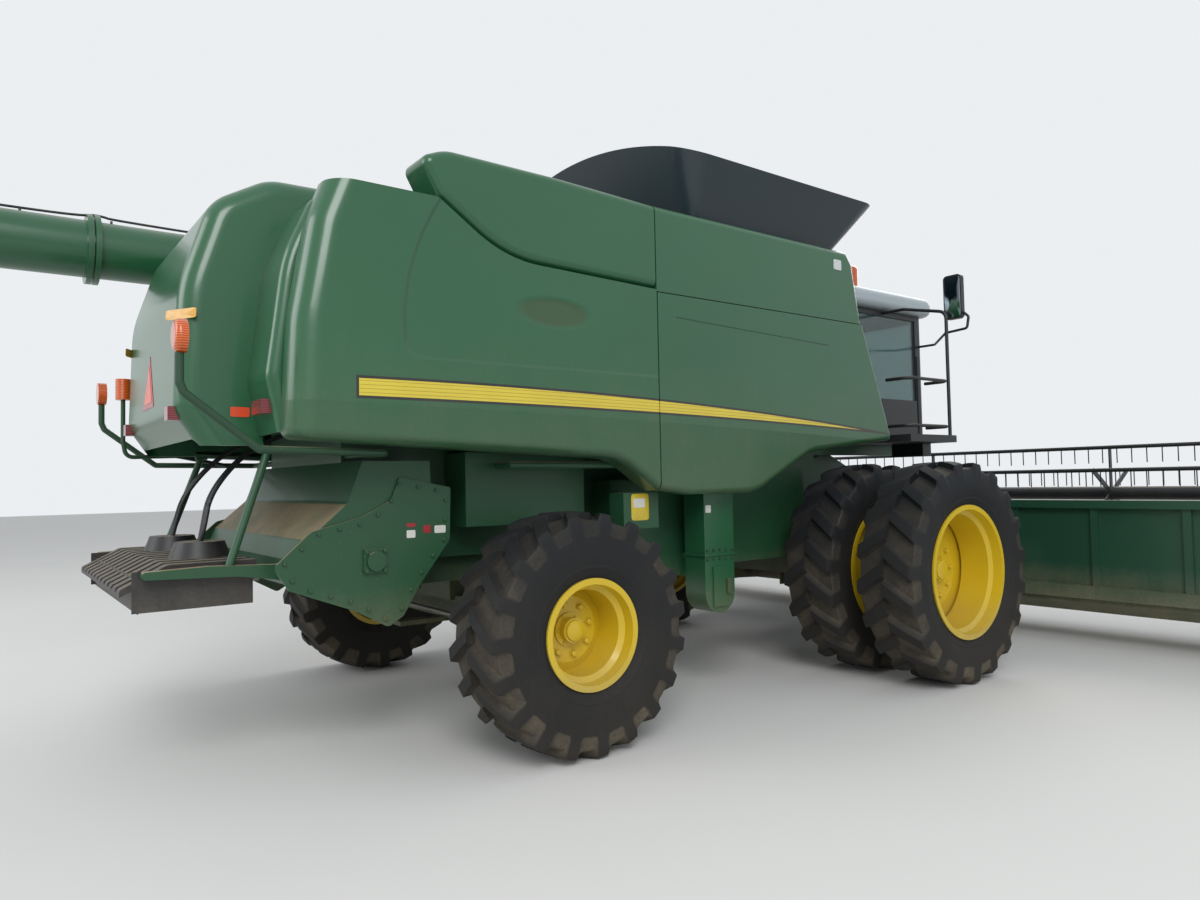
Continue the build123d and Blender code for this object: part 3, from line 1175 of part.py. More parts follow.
# Cross auger: a drum with left and right flighting that meets the gap in the middle
flight_start = 620
flight_end = sheet_y - 40
with BuildPart() as header_auger:
    cross_bar(CROSS_AUGER_X, CROSS_AUGER_Z, (-flight_end, flight_end), CROSS_AUGER_TUBE)
    cross_bar(CROSS_AUGER_X, CROSS_AUGER_Z, (-sheet_y + FIT, sheet_y - FIT), 45)
    flight_width = CROSS_AUGER_RADIUS - CROSS_AUGER_TUBE + 6
    middle_radius = CROSS_AUGER_RADIUS - flight_width / 2
    for side, sign in SIDES:
        origin = (FRONT_AXLE_X + CROSS_AUGER_X, sign * flight_start, CROSS_AUGER_Z)
        with BuildLine() as path:
            Helix(
                FLIGHT_PITCH, flight_end - flight_start - 20, middle_radius, center=origin,
                direction=(0, sign, 0), lefthand=sign > 0,
            )
        with BuildSketch(Plane(origin=path.line @ 0, x_dir=(0, 1, 0), z_dir=path.line % 0)) as section:
            Rectangle(FLIGHT_WALL, flight_width)
        sweep(section.sketch, path=path.line, is_frenet=True)
    # Fingers that feed the crop into the feeder house: (width, angle)
    for finger in range(9):
        angle = radians(80 * finger)
        y = -480 + 120 * finger
        centre = CROSS_AUGER_TUBE + 40
        place = (
            FRONT_AXLE_X + CROSS_AUGER_X + centre * cos(angle), y, CROSS_AUGER_Z + centre * sin(angle)
        )
        with Locations(Location(place, (0, 90 - 80 * finger, 0))):
            Cylinder(10, 100)
save(header_auger.part, "header_auger")

# Reel arms, from the header's top corners to the reel shaft
arm_y = HEADER_HALF_WIDTH - END_SHEET - 30
arm_inner = arm_y - 60
with BuildPart() as reel_arms:
    for side, sign in SIDES:
        block(
            (REEL_ARM_PIVOT_X - 40, REEL_X + 60), (sign * arm_inner, sign * arm_y),
            (REEL_Z - REEL_ARM_BELOW, REEL_Z + 40),
        )
        cross_bar(REEL_ARM_PIVOT_X, REEL_Z, (sign * arm_inner, sign * (sheet_y - FIT)), 32)
        cross_bar(REEL_X, REEL_Z, (sign * arm_inner, sign * arm_y), 60)
save(reel_arms.part, "reel_arms")

# Reel: centre tube, spiders, bats and their hanging tines
reel_reach = arm_inner - RUNNING
bat_reach = reel_reach - 50
tines = int(2 * (bat_reach - 40) / TINE_SPACING)
with BuildPart() as reel:
    cross_bar(REEL_X, REEL_Z, (-reel_reach, reel_reach), REEL_TUBE_RADIUS)
    cross_bar(REEL_X, REEL_Z, (-arm_inner + FIT, arm_inner - FIT), 40)
    spiders = [share * (reel_reach - 60) for share in (-1, -0.5, 0, 0.5, 1)]
    for bat in range(REEL_BATS):
        angle = radians(30 + 360 / REEL_BATS * bat)
        x = REEL_X + REEL_RADIUS * cos(angle)
        z = REEL_Z + REEL_RADIUS * sin(angle)
        cross_bar(x, z, (-bat_reach, bat_reach), 22)
        for y in spiders:
            with Locations(Location((FRONT_AXLE_X + REEL_X, y, REEL_Z), (0, -30 - 360 / REEL_BATS * bat, 0))):
                with Locations((REEL_RADIUS / 2, 0, 0)):
                    Box(REEL_RADIUS, 12, 60)
        with BuildSketch(plan_plane(z)) as comb:
            with Locations((x, 0)):
                with GridLocations(1, TINE_SPACING, 1, tines):
                    Rectangle(TINE_WIDTH, TINE_WIDTH)
        extrude(comb.sketch, amount=-TINE_LENGTH)
save(reel.part, "reel")
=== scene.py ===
import json
from math import radians

import bmesh
import bpy
import numpy as np
from mathutils import Matrix, Vector
from mathutils.bvhtree import BVHTree


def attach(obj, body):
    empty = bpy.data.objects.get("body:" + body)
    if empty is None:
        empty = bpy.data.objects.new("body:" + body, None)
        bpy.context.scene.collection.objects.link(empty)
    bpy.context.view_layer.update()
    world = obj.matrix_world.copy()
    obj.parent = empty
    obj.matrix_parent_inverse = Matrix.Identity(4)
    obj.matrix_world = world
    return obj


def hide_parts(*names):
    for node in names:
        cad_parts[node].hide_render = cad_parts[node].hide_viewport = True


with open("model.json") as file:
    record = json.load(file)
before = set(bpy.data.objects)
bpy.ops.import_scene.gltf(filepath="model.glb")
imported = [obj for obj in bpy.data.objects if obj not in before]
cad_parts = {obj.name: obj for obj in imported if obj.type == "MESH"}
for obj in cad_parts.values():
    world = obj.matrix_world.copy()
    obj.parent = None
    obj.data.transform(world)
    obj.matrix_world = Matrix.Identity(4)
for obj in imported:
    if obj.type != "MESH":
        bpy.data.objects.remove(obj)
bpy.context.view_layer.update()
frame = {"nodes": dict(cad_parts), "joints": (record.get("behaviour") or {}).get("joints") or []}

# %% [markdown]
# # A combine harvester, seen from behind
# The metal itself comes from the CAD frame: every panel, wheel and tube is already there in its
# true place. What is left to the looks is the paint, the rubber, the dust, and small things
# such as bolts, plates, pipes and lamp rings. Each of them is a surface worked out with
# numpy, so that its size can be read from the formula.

nodes = frame["nodes"]
MM = 0.001
SIDES = (("right", -1), ("left", 1))        # each side and the sign of y there
joint_places = {joint["name"]: joint.get("pos_m") for joint in frame["joints"]}
AXLE_X = joint_places["front_wheels_right_roll"][0]

# %% [markdown]
# ## The camera comes first
# The photograph was taken close behind the right rear wheel, at head height, with a wide lens.
# Two wheels whose tyres are taken to be of standard sizes fix the place and the lens. The camera
# is set before anything else, because small plates are placed by the line of sight through a point of
# the picture, and then laid on the sheet that the line meets.

# %% Camera
CAMERA_PLACE = np.array([-5.111, -6.21, 1.742])
YAW, PITCH, ROLL = radians(52.8), radians(2.18), radians(-1.12)
LENS, SENSOR = 24.96, 36                    # focal length and film width in millimetres
PICTURE_WIDTH, PICTURE_HEIGHT = 1200, 900
camera_data = bpy.data.cameras.new("camera")
camera_data.lens, camera_data.sensor_width = LENS, SENSOR
camera = bpy.data.objects.new("camera", camera_data)
bpy.context.scene.collection.objects.link(camera)
forward = np.array([np.cos(YAW) * np.cos(PITCH), np.sin(YAW) * np.cos(PITCH), np.sin(PITCH)])
level = np.array([np.sin(YAW), -np.cos(YAW), 0])
above = np.cross(level, forward)
right = level * np.cos(ROLL) + above * np.sin(ROLL)
upright = above * np.cos(ROLL) - level * np.sin(ROLL)
pose = np.eye(4)
pose[:3] = np.stack([right, upright, -forward, CAMERA_PLACE], 1)
camera.matrix_world = Matrix(pose.tolist())
bpy.context.scene.camera = camera
bpy.context.scene.view_settings.view_transform = "Standard"
print("camera looks along", [round(v, 3) for v in forward])


# %% Where a line meets a sheet
def at(station, y, z):
    """A point given by its station from the front axle, width and height, in metres."""
    return np.array([AXLE_X + station, y, z])


def seat(node, start, direction):
    """The place where a line from a start point meets a CAD node, and the normal of the face there."""
    tree = BVHTree.FromObject(nodes[node], bpy.context.evaluated_depsgraph_get())
    point, normal, _, _ = tree.ray_cast(Vector(start), Vector(direction))
    return np.array(point), np.array(normal)


def seat_in_view(node, across, down):
    """The same for the line of sight through a point of the picture, counted from its top left."""
    focal = LENS / SENSOR * PICTURE_WIDTH
    sideways, downwards = (across - PICTURE_WIDTH / 2) / focal, (down - PICTURE_HEIGHT / 2) / focal
    return seat(node, CAMERA_PLACE, forward + right * sideways - upright * downwards)


print("the front axle is at x =", round(AXLE_X, 3), "in the frame")

# %% [markdown]
# ## Colour and nodes
# A paint chip is written as a hex value, the way a picture editor shows it. The renderer wants
# linear light, so one function turns each value. A material is a chain of nodes, and one small
# function adds a node with its settings and links. A socket is fed a link, a hex colour or a
# number, so each recipe below reads from top to bottom like a list of steps.


# %% Hex colours to linear light
def linear(hex_value):
    """Turn an sRGB hex value into linear RGBA: ((c + 0.055) / 1.055) ** 2.4, or c / 12.92 near black."""
    parts = np.array([int(hex_value[i:i + 2], 16) for i in (1, 3, 5)]) / 255
    light = np.where(parts <= 0.04045, parts / 12.92, ((parts + 0.055) / 1.055) ** 2.4)
    return (*light.tolist(), 1.0)


print("enamel green is", [round(v, 3) for v in linear("#235c3a")[:3]])

# %% One function that adds a node
MATH, RANGE, MIX = "ShaderNodeMath", "ShaderNodeMapRange", "ShaderNodeMix"
NOISE, SPLIT, PLACE = "ShaderNodeTexNoise", "ShaderNodeSeparateXYZ", "ShaderNodeTexCoord"


def add_node(owner, kind, feeds, **settings):
    """Add a node and return its outputs. Settings name its properties; feeds fill its sockets."""
    node = owner.node_tree.nodes.new(kind)
    for name, value in settings.items():
        setattr(node, name, value)
    for socket, value in feeds.items():
        if isinstance(value, bpy.types.NodeSocket):
            owner.node_tree.links.new(value, node.inputs[socket])
        else:
            node.inputs[socket].default_value = linear(value) if isinstance(value, str) else value
    return node.outputs


# %% A material and what reaches its shader
def new_material(name, roughness=0.5, metallic=0.0, coat=0.0):
    """A material, its shader and the shaded point; what is the same all over sits on the shader."""
    material = bpy.data.materials.new(name)
    material.use_nodes = True
    shader = material.node_tree.nodes["Principled BSDF"]
    shader.inputs["Roughness"].default_value = roughness
    shader.inputs["Metallic"].default_value = metallic
    shader.inputs["Coat Weight"].default_value = coat
    shader.inputs["Coat Roughness"].default_value = 0.12
    return material, shader, add_node(material, PLACE, {})["Object"]


def dress(material, shader, colour, roughness, height, depth_mm):
    """Feed colour and roughness to the shader, and a relief whose height of 1 stands depth_mm proud."""
    add_link = material.node_tree.links.new
    add_link(colour, shader.inputs["Base Color"])
    if roughness is not None:
        add_link(roughness, shader.inputs["Roughness"])
    relief = add_node(material, "ShaderNodeBump", {"Distance": depth_mm * MM, "Height": height})
    add_link(relief["Normal"], shader.inputs["Normal"])
    return material


print("recipes can be written")

# %% [markdown]
# ## Where dust lies
# Field dust settles on ledges that face up, and the wheels throw it on everything low. Both can
# be read from geometry alone: the normal's height says how far a face looks up, and the point's
# height says how near it is to the ground. Noise breaks the edge of the layer, and a second
# noise drawn out downwards makes the streaks that rain leaves. Nothing here depends on where
# the camera stands, so the dust stays in place in every view.

# %% Dust
DUST, CHAFF = "#8a7c66", "#a89474"          # dry loam, and the chaff that lies on top of it


def dust_share(material, point, top, ledge, patch_mm=260):
    """Dust from 0 to 1: what lies low or on ledges, times patches, grains and rain streaks."""
    height = add_node(material, SPLIT, {0: point})["Z"]
    low = add_node(material, RANGE, {"Value": height, "From Min": top, "From Max": 0.1})["Result"]
    facing = add_node(material, SPLIT, {0: add_node(material, "ShaderNodeNewGeometry", {})["Normal"]})["Z"]
    up = add_node(material, RANGE, {"Value": facing, "From Min": 0.6, "From Max": 0.98,
                                    "To Max": ledge})["Result"]
    layer = add_node(material, MATH, {0: low, 1: up}, operation="MAXIMUM")[0]
    grains = add_node(material, NOISE, {0: point, "Scale": 1 / (22 * MM), "Detail": 6,
                                        "Roughness": 0.72})["Fac"]
    patches = add_node(material, NOISE, {0: point, "Scale": 1 / (patch_mm * MM), "Detail": 5})["Fac"]
    drawn = add_node(material, "ShaderNodeMapping", {0: point, "Scale": (1 / 0.05, 1 / 0.05, 1 / 0.7)})[0]
    streaks = add_node(material, NOISE, {0: drawn, "Scale": 1.0, "Detail": 3})["Fac"]
    broken = add_node(material, MATH, {0: patches, 1: grains, 2: 0.05}, operation="MULTIPLY_ADD")[0]
    broken = add_node(material, MATH, {0: streaks, 1: 0.16, 2: broken}, operation="MULTIPLY_ADD")[0]
    share = add_node(material, MATH, {0: layer, 1: broken}, operation="MULTIPLY")[0]
    return add_node(material, RANGE, {"Value": share, "From Min": 0.04, "From Max": 0.46})["Result"]


print("dust is", DUST, "with chaff", CHAFF)

# %% [markdown]
# ## Paint
# The body is stove enamel over pressed steel: two close greens, a fine orange peel that only the
# reflections give away, a clear coat, and dust. The wheels are a deep yellow enamel. Frame
# parts wear a rougher, less glossy paint, because they get one coat of spray and live in the dirt,
# and stones have chipped them down to grey primer. Their green is darker than the body's: that
# is painted shade, for parts that sit low and under the panels.


# %% Enamel
def enamel(name, main, shade, roughness, coat, top, ledge, chips):
    """Enamel on steel: two close tones, stone chips a few millimetres wide, and field dust on top."""
    material, shader, point = new_material(name, roughness, coat=coat)
    cloud = add_node(material, NOISE, {0: point, "Scale": 1 / 1.4, "Detail": 2})["Fac"]
    tone = add_node(material, MIX, {0: cloud, 6: main, 7: shade}, data_type="RGBA")[2]
    specks = add_node(material, NOISE, {0: point, "Scale": 1 / (13 * MM), "Detail": 3,
                                        "Roughness": 0.6})["Fac"]
    chip = add_node(material, RANGE, {"Value": specks, "From Min": chips,
                                      "From Max": chips + 0.02})["Result"]
    tone = add_node(material, MIX, {0: chip, 6: tone, 7: "#6d6c66"}, data_type="RGBA")[2]
    layer = dust_share(material, point, top, ledge)
    dust = add_node(material, MIX, {0: cloud, 6: DUST, 7: CHAFF}, data_type="RGBA")[2]
    share = add_node(material, MATH, {0: layer, 1: 0.8}, operation="MULTIPLY")[0]
    colour = add_node(material, MIX, {0: share, 6: tone, 7: dust}, data_type="RGBA")[2]
    rough = add_node(material, MATH, {0: layer, 1: 0.5, 2: roughness}, operation="MULTIPLY_ADD")[0]
    peel = add_node(material, NOISE, {0: point, "Scale": 1 / (6 * MM), "Detail": 3})["Fac"]
    height = add_node(material, MATH, {0: layer, 1: 0.8, 2: peel}, operation="MULTIPLY_ADD")[0]
    return dress(material, shader, colour, rough, height, 0.14)


PAINTS = {  # main tone, second tone, roughness, coat, top of low dust, dust on ledges, chips above
    "green_enamel": ("#235c3a", "#1e5233", 0.30, 0.35, 1.10, 0.30, 0.80),
    # painted shade: the header's green is darker than the body's, as if it stood in shade
    "header_enamel": ("#1f4c37", "#1a422f", 0.42, 0.15, 0.90, 0.45, 0.72),
    # painted shade: the frame paint's green is darker than the body's, for the parts low under the panels
    "frame_paint": ("#1c4429", "#163620", 0.55, 0.05, 1.35, 0.75, 0.71),
    "yellow_wheel_enamel": ("#dcbe25", "#c9aa1c", 0.36, 0.30, 0.80, 0.25, 0.73),
    "tank_panel_paint": ("#1b2c33", "#16252b", 0.34, 0.25, 0.50, 0.22, 0.82),
    "black_powder_coat": ("#222427", "#1a1c1e", 0.50, 0.10, 1.70, 0.45, 0.76),
    "chopper_paint": ("#225234", "#1c452a", 0.48, 0.10, 1.25, 2.60, 0.71),
    "roof_plastic": ("#a8b4b9", "#9aa7ad", 0.42, 0.15, 0.30, 0.15, 0.90),
}
paints = {name: enamel(name, *values) for name, values in PAINTS.items()}
print(len(paints), "paints")

# %% [markdown]
# ## The stripe and the pressings of the side panels
# A yellow stripe with a black edge runs along each side and tapers to a point in front. A vinyl
# stripe has no thickness to speak of, so it is part of the paint: its two edges are shallow
# parabolas, and the point's height against both of them chooses the colour. The pressings are
# heights fed to the bump: below a crease the sheet turns in, the rear panel has a
# pressed field with one round corner and a shallow dish, and the front one has a slot. Places
# along the side are stations, measured from the front axle.

# %% Heights of the lines on the side, as parabolas of the distance from the stripe's rear end
STRIPE_REAR, STRIPE_TIP = -4.90, 0.345      # stations where the stripe starts and ends
STRIPE_TOP = (2.380, 0.0090, -0.01046)      # height, slope and bend of each line
STRIPE_LOW = (2.247, 0.0037, -0.00497)
CREASE = (2.225, -0.0145, -0.00315)
BORDER, LINES = 17 * MM, 23 * MM            # width of the black edge, pitch of the thin lines


def above_line(material, place, line):
    """Height above a parabola: z - (a + b s + c s s), with s the distance from the stripe's rear end."""
    start, slope, bend = line
    s = add_node(material, MATH, {0: place["X"], 1: AXLE_X + STRIPE_REAR}, operation="SUBTRACT")[0]
    rise = add_node(material, MATH, {0: s, 1: bend, 2: slope}, operation="MULTIPLY_ADD")[0]
    curve = add_node(material, MATH, {0: rise, 1: s, 2: start}, operation="MULTIPLY_ADD")[0]
    return add_node(material, MATH, {0: place["Z"], 1: curve}, operation="SUBTRACT")[0]


print("the stripe is", round(STRIPE_TIP - STRIPE_REAR, 2), "m long")


# %% The stripe's colours
def stripe(material, point, place, tone):
    """Yellow vinyl with thin lines inside a black edge, between two parabolas and two ends."""
    beyond = above_line(material, place, STRIPE_TOP)
    under = add_node(material, MATH, {0: beyond, 1: -1.0}, operation="MULTIPLY")[0]
    over = above_line(material, place, STRIPE_LOW)
    ahead = add_node(material, MATH, {0: place["X"], 1: AXLE_X + STRIPE_REAR}, operation="SUBTRACT")[0]
    left = add_node(material, MATH, {0: AXLE_X + STRIPE_TIP, 1: place["X"]}, operation="SUBTRACT")[0]
    inside = add_node(material, MATH, {0: under, 1: over}, operation="MINIMUM")[0]
    inside = add_node(material, MATH, {0: inside, 1: ahead}, operation="MINIMUM")[0]
    inside = add_node(material, MATH, {0: inside, 1: left}, operation="MINIMUM")[0]
    black = add_node(material, RANGE, {"Value": inside, "From Min": -0.001, "From Max": 0.001})["Result"]
    bright = add_node(material, RANGE, {"Value": inside, "From Min": BORDER - 0.001,
                                        "From Max": BORDER + 0.001})["Result"]
    band = add_node(material, MATH, {0: over, 1: LINES}, operation="MODULO")[0]
    thin = add_node(material, MATH, {0: band, 1: LINES / 2, 2: 0.0013}, operation="COMPARE")[0]
    fade = add_node(material, NOISE, {0: point, "Scale": 1 / 0.3, "Detail": 3})["Fac"]
    vinyl = add_node(material, MIX, {0: fade, 6: "#dfca3e", 7: "#cdb72f"}, data_type="RGBA")[2]
    vinyl = add_node(material, MIX, {0: thin, 6: vinyl, 7: "#8d7a1f"}, data_type="RGBA")[2]
    edged = add_node(material, MIX, {0: black, 6: tone, 7: "#15181a"}, data_type="RGBA")[2]
    return add_node(material, MIX, {0: bright, 6: edged, 7: vinyl}, data_type="RGBA")[2]


print("thin lines lie", round(LINES / MM), "mm apart on the stripe")

# %% Pressings of the rear panel and of the front one, in metres of relief
DISH_IN_PICTURE = (555, 313)
DISH_HALF_LENGTH, DISH_HALF_HEIGHT = 0.34, 0.115
FIELD_DEPTH, DISH_DEPTH, SLOT_DEPTH = 12 * MM, 9 * MM, 8 * MM
FIELD_REAR, FIELD_FOOT, ROUND_CORNER = -4.6, 2.51, 0.16
SLOT_REAR, SLOT_HALF = -2.41, 0.905         # its rear end, and half of its length
dish_centre, _ = seat_in_view("shield_rear_right", *DISH_IN_PICTURE)


def rear_pressing(material, place):
    """A field ahead of station -4.6 + 0.4 (z - 2.72)^2 and above z = 2.51, pressed in, and a dish."""
    rise = add_node(material, MATH, {0: place["Z"], 1: 2.72}, operation="SUBTRACT")[0]
    square = add_node(material, MATH, {0: rise, 1: rise}, operation="MULTIPLY")[0]
    edge = add_node(material, MATH, {0: square, 1: 0.4, 2: AXLE_X + FIELD_REAR}, operation="MULTIPLY_ADD")[0]
    past = add_node(material, MATH, {0: place["X"], 1: edge}, operation="SUBTRACT")[0]
    over = add_node(material, MATH, {0: place["Z"], 1: FIELD_FOOT}, operation="SUBTRACT")[0]
    corner = add_node(material, MATH, {0: past, 1: over, 2: ROUND_CORNER}, operation="SMOOTH_MIN")[0]
    field = add_node(material, RANGE, {"Value": corner, "From Min": -0.010, "From Max": 0.010,
                                       "To Max": -FIELD_DEPTH})["Result"]
    x = add_node(material, MATH, {0: place["X"], 1: dish_centre[0]}, operation="SUBTRACT")[0]
    x = add_node(material, MATH, {0: x, 1: 1 / DISH_HALF_LENGTH}, operation="MULTIPLY")[0]
    z = add_node(material, MATH, {0: place["Z"], 1: dish_centre[2]}, operation="SUBTRACT")[0]
    z = add_node(material, MATH, {0: z, 1: 1 / DISH_HALF_HEIGHT}, operation="MULTIPLY")[0]
    z = add_node(material, MATH, {0: z, 1: z}, operation="MULTIPLY")[0]
    far = add_node(material, MATH, {0: x, 1: x, 2: z}, operation="MULTIPLY_ADD")[0]
    dish = add_node(material, RANGE, {"Value": far, "From Min": 1.0, "From Max": 0.3,
                                      "To Max": -DISH_DEPTH}, interpolation_type="SMOOTHSTEP")[0]
    return add_node(material, MATH, {0: field, 1: dish}, operation="ADD")[0]


def front_pressing(material, place):
    """A slot 16 mm wide at its lips, 6 mm at its floor, along z = 2.965 - 0.033 (station + 2.41)."""
    past = add_node(material, MATH, {0: place["X"], 1: AXLE_X + SLOT_REAR}, operation="SUBTRACT")[0]
    line = add_node(material, MATH, {0: past, 1: -0.033, 2: 2.965}, operation="MULTIPLY_ADD")[0]
    off = add_node(material, MATH, {0: place["Z"], 1: line}, operation="SUBTRACT")[0]
    off = add_node(material, MATH, {0: off}, operation="ABSOLUTE")[0]
    centre = add_node(material, MATH, {0: past, 1: SLOT_HALF}, operation="SUBTRACT")[0]
    centre = add_node(material, MATH, {0: centre}, operation="ABSOLUTE")[0]
    beyond = add_node(material, MATH, {0: centre, 1: SLOT_HALF}, operation="SUBTRACT")[0]
    away = add_node(material, MATH, {0: off, 1: beyond}, operation="MAXIMUM")[0]
    return add_node(material, RANGE, {"Value": away, "From Min": 0.008, "From Max": 0.003,
                                      "To Max": -SLOT_DEPTH})["Result"]


print("the shallow dish in the rear panel is at", dish_centre.round(3))


# %% Enamel of the side panels
def panel_enamel(name, pressing):
    """Green enamel with the stripe, the crease, one panel's pressing, darker olive where it is deepest, and
    dust.
    """
    material, shader, point = new_material(name, 0.28, coat=0.35)
    place = add_node(material, SPLIT, {0: point})
    cloud = add_node(material, NOISE, {0: point, "Scale": 1 / 1.4, "Detail": 2})["Fac"]
    tone = add_node(material, MIX, {0: cloud, 6: "#235c3a", 7: "#1e5233"}, data_type="RGBA")[2]
    pressed = pressing(material, place)
    # the deepest parts of the pressings turn a darker olive
    darker_where_deepest = add_node(material, RANGE, {"Value": pressed, "From Min": -0.014, "From Max": -0.020,
                                       "To Max": 0.6})["Result"]
    tone = add_node(material, MIX, {0: darker_where_deepest, 6: tone, 7: "#34431f"}, data_type="RGBA")[2]
    painted = stripe(material, point, place, tone)
    layer = dust_share(material, point, 3.0, 0.4)
    haze = add_node(material, MATH, {0: layer, 1: 0.42}, operation="MULTIPLY")[0]
    colour = add_node(material, MIX, {0: haze, 6: painted, 7: DUST}, data_type="RGBA")[2]
    over = above_line(material, place, CREASE)
    below = add_node(material, MATH, {0: over, 1: 0.0}, operation="MINIMUM")[0]
    turned = add_node(material, MATH, {0: below, 1: 0.16}, operation="MULTIPLY")[0]
    wave = add_node(material, NOISE, {0: point, "Scale": 1 / 0.8, "Detail": 1})["Fac"]
    relief = add_node(material, MATH, {0: wave, 1: 0.010, 2: turned}, operation="MULTIPLY_ADD")[0]
    relief = add_node(material, MATH, {0: relief, 1: pressed}, operation="ADD")[0]
    peel = add_node(material, NOISE, {0: point, "Scale": 1 / (6 * MM), "Detail": 3})["Fac"]
    relief = add_node(material, MATH, {0: peel, 1: 0.0001, 2: relief}, operation="MULTIPLY_ADD")[0]
    rough = add_node(material, MATH, {0: layer, 1: 0.4, 2: 0.28}, operation="MULTIPLY_ADD")[0]
    return dress(material, shader, colour, rough, relief, 1000)


paints["rear_panel"] = panel_enamel("green_enamel_rear_panel", rear_pressing)
paints["front_panel"] = panel_enamel("green_enamel_front_panel", front_pressing)
print("panel enamels ready")

# %% [markdown]
# ## Rubber
# A drive tyre is black rubber filled with soot. Its bars are polished by the road and its grooves
# hold soil, so each point of the tyre mesh carries two numbers: how deep it lies between the
# bars, and its radius. The radius draws the fine rings that the mould leaves on the sidewall.


# %% Tyre rubber
def tyre_rubber():
    """Matt rubber: mould rings 11 mm apart, soil in the grooves, dust in patches on the rest."""
    material, shader, point = new_material("moulded_tyre_rubber", 0.66)
    shader.inputs["Specular IOR Level"].default_value = 0.3
    groove = add_node(material, "ShaderNodeAttribute", {}, attribute_name="groove")["Fac"]
    radius = add_node(material, "ShaderNodeAttribute", {}, attribute_name="radius")["Fac"]
    cloud = add_node(material, NOISE, {0: point, "Scale": 1 / 0.16, "Detail": 4})["Fac"]
    tone = add_node(material, MIX, {0: cloud, 6: "#171b20", 7: "#111418"}, data_type="RGBA")[2]
    layer = dust_share(material, point, 1.9, 0.5, 300)
    deep = add_node(material, MATH, {0: groove, 1: 0.0}, operation="MAXIMUM")[0]
    soil = add_node(material, MATH, {0: deep, 1: cloud}, operation="MULTIPLY")[0]
    share = add_node(material, MATH, {0: soil, 1: 1.1, 2: 0.18}, operation="MULTIPLY_ADD")[0]
    share = add_node(material, MATH, {0: layer, 1: share}, operation="MULTIPLY")[0]
    colour = add_node(material, MIX, {0: share, 6: tone, 7: "#6d6353"}, data_type="RGBA")[2]
    wave = add_node(material, MATH, {0: radius, 1: 2 * np.pi / (11 * MM)}, operation="MULTIPLY")[0]
    rings = add_node(material, MATH, {0: wave}, operation="SINE")[0]
    flat = add_node(material, RANGE, {"Value": groove, "From Min": -0.4, "From Max": -0.5})[0]
    rings = add_node(material, MATH, {0: rings, 1: flat}, operation="MULTIPLY")[0]
    pits = add_node(material, NOISE, {0: point, "Scale": 1 / (9 * MM), "Detail": 5})["Fac"]
    height = add_node(material, MATH, {0: rings, 1: 0.35, 2: pits}, operation="MULTIPLY_ADD")[0]
    rough = add_node(material, MATH, {0: layer, 1: 0.25, 2: 0.60}, operation="MULTIPLY_ADD")[0]
    return dress(material, shader, colour, rough, height, 1.1)


def cover_plastic():
    """Black moulded rubber and plastic covers: grain 5 mm wide, greyed by sun, with chaff on top."""
    material, shader, point = new_material("moulded_black_plastic", 0.5)
    cloud = add_node(material, NOISE, {0: point, "Scale": 1 / 0.09, "Detail": 4})["Fac"]
    tone = add_node(material, MIX, {0: cloud, 6: "#232427", 7: "#191a1c"}, data_type="RGBA")[2]
    layer = dust_share(material, point, 1.55, 1.0, 160)
    colour = add_node(material, MIX, {0: layer, 6: tone, 7: "#7b7263"}, data_type="RGBA")[2]
    grain = add_node(material, NOISE, {0: point, "Scale": 1 / (5 * MM), "Detail": 4})["Fac"]
    rough = add_node(material, MATH, {0: layer, 1: 0.35, 2: 0.45}, operation="MULTIPLY_ADD")[0]
    return dress(material, shader, colour, rough, grain, 0.4)


rubber, plastic = tyre_rubber(), cover_plastic()
print("rubber ready")

# %% [markdown]
# ## Glass, lenses, films and bare steel
# Cab glass is toughened and faintly green. A lamp lens is moulded with fine ridges that break up
# the light. The knife, the tie rod and the discs are bare steel polished by straw, and the
# lift rods are hard chrome.


# %% Glass, lenses, films
WAVE_BAND = 0.31                            # length of one band of the wave node at a scale of 1


def cab_glass():
    """Toughened glass, faintly green, with a slow waviness and a film of dust in patches."""
    material, shader, point = new_material("toughened_cab_glass", 0.04)
    shader.inputs["Transmission Weight"].default_value = 0.9
    haze = add_node(material, NOISE, {0: point, "Scale": 1 / 0.4, "Detail": 5})["Fac"]
    colour = add_node(material, MIX, {0: haze, 6: "#7f9a9a", 7: "#93abaa"}, data_type="RGBA")[2]
    rough = add_node(material, RANGE, {"Value": haze, "From Min": 0.45, "From Max": 0.8, "To Min": 0.03,
                                       "To Max": 0.2})["Result"]
    return dress(material, shader, colour, rough, haze, 0.5)


def lens(name, bright, deep):
    """Moulded lens: ridges 12 mm apart with a painted highlight on their crests, under a glossy skin."""
    material, shader, point = new_material(name, 0.15, coat=0.6)
    ridges = add_node(material, "ShaderNodeTexWave", {0: point, "Scale": WAVE_BAND / (12 * MM)},
                      bands_direction="Z")["Fac"]
    # the bright tone on the ridges' crests is a painted highlight
    colour = add_node(material, MIX, {0: ridges, 6: deep, 7: bright}, data_type="RGBA")[2]
    rough = add_node(material, RANGE, {"Value": ridges, "To Min": 0.12, "To Max": 0.3})["Result"]
    return dress(material, shader, colour, rough, ridges, 1.0)


def film(name, bright, deep):
    """Reflecting film: sealed cells 5 mm across, drawn in two tones, with scuffs between them."""
    material, shader, point = new_material(name, 0.3, coat=0.4)
    cells = add_node(material, "ShaderNodeTexVoronoi", {"Vector": point, "Scale": 1 / (5 * MM)})["Distance"]
    scuffs = add_node(material, NOISE, {0: point, "Scale": 1 / 0.05, "Detail": 6})["Fac"]
    share = add_node(material, MATH, {0: cells, 1: scuffs}, operation="MULTIPLY")[0]
    colour = add_node(material, MIX, {0: share, 6: bright, 7: deep}, data_type="RGBA")[2]
    rough = add_node(material, RANGE, {"Value": scuffs, "To Min": 0.2, "To Max": 0.5})["Result"]
    return dress(material, shader, colour, rough, cells, 0.2)


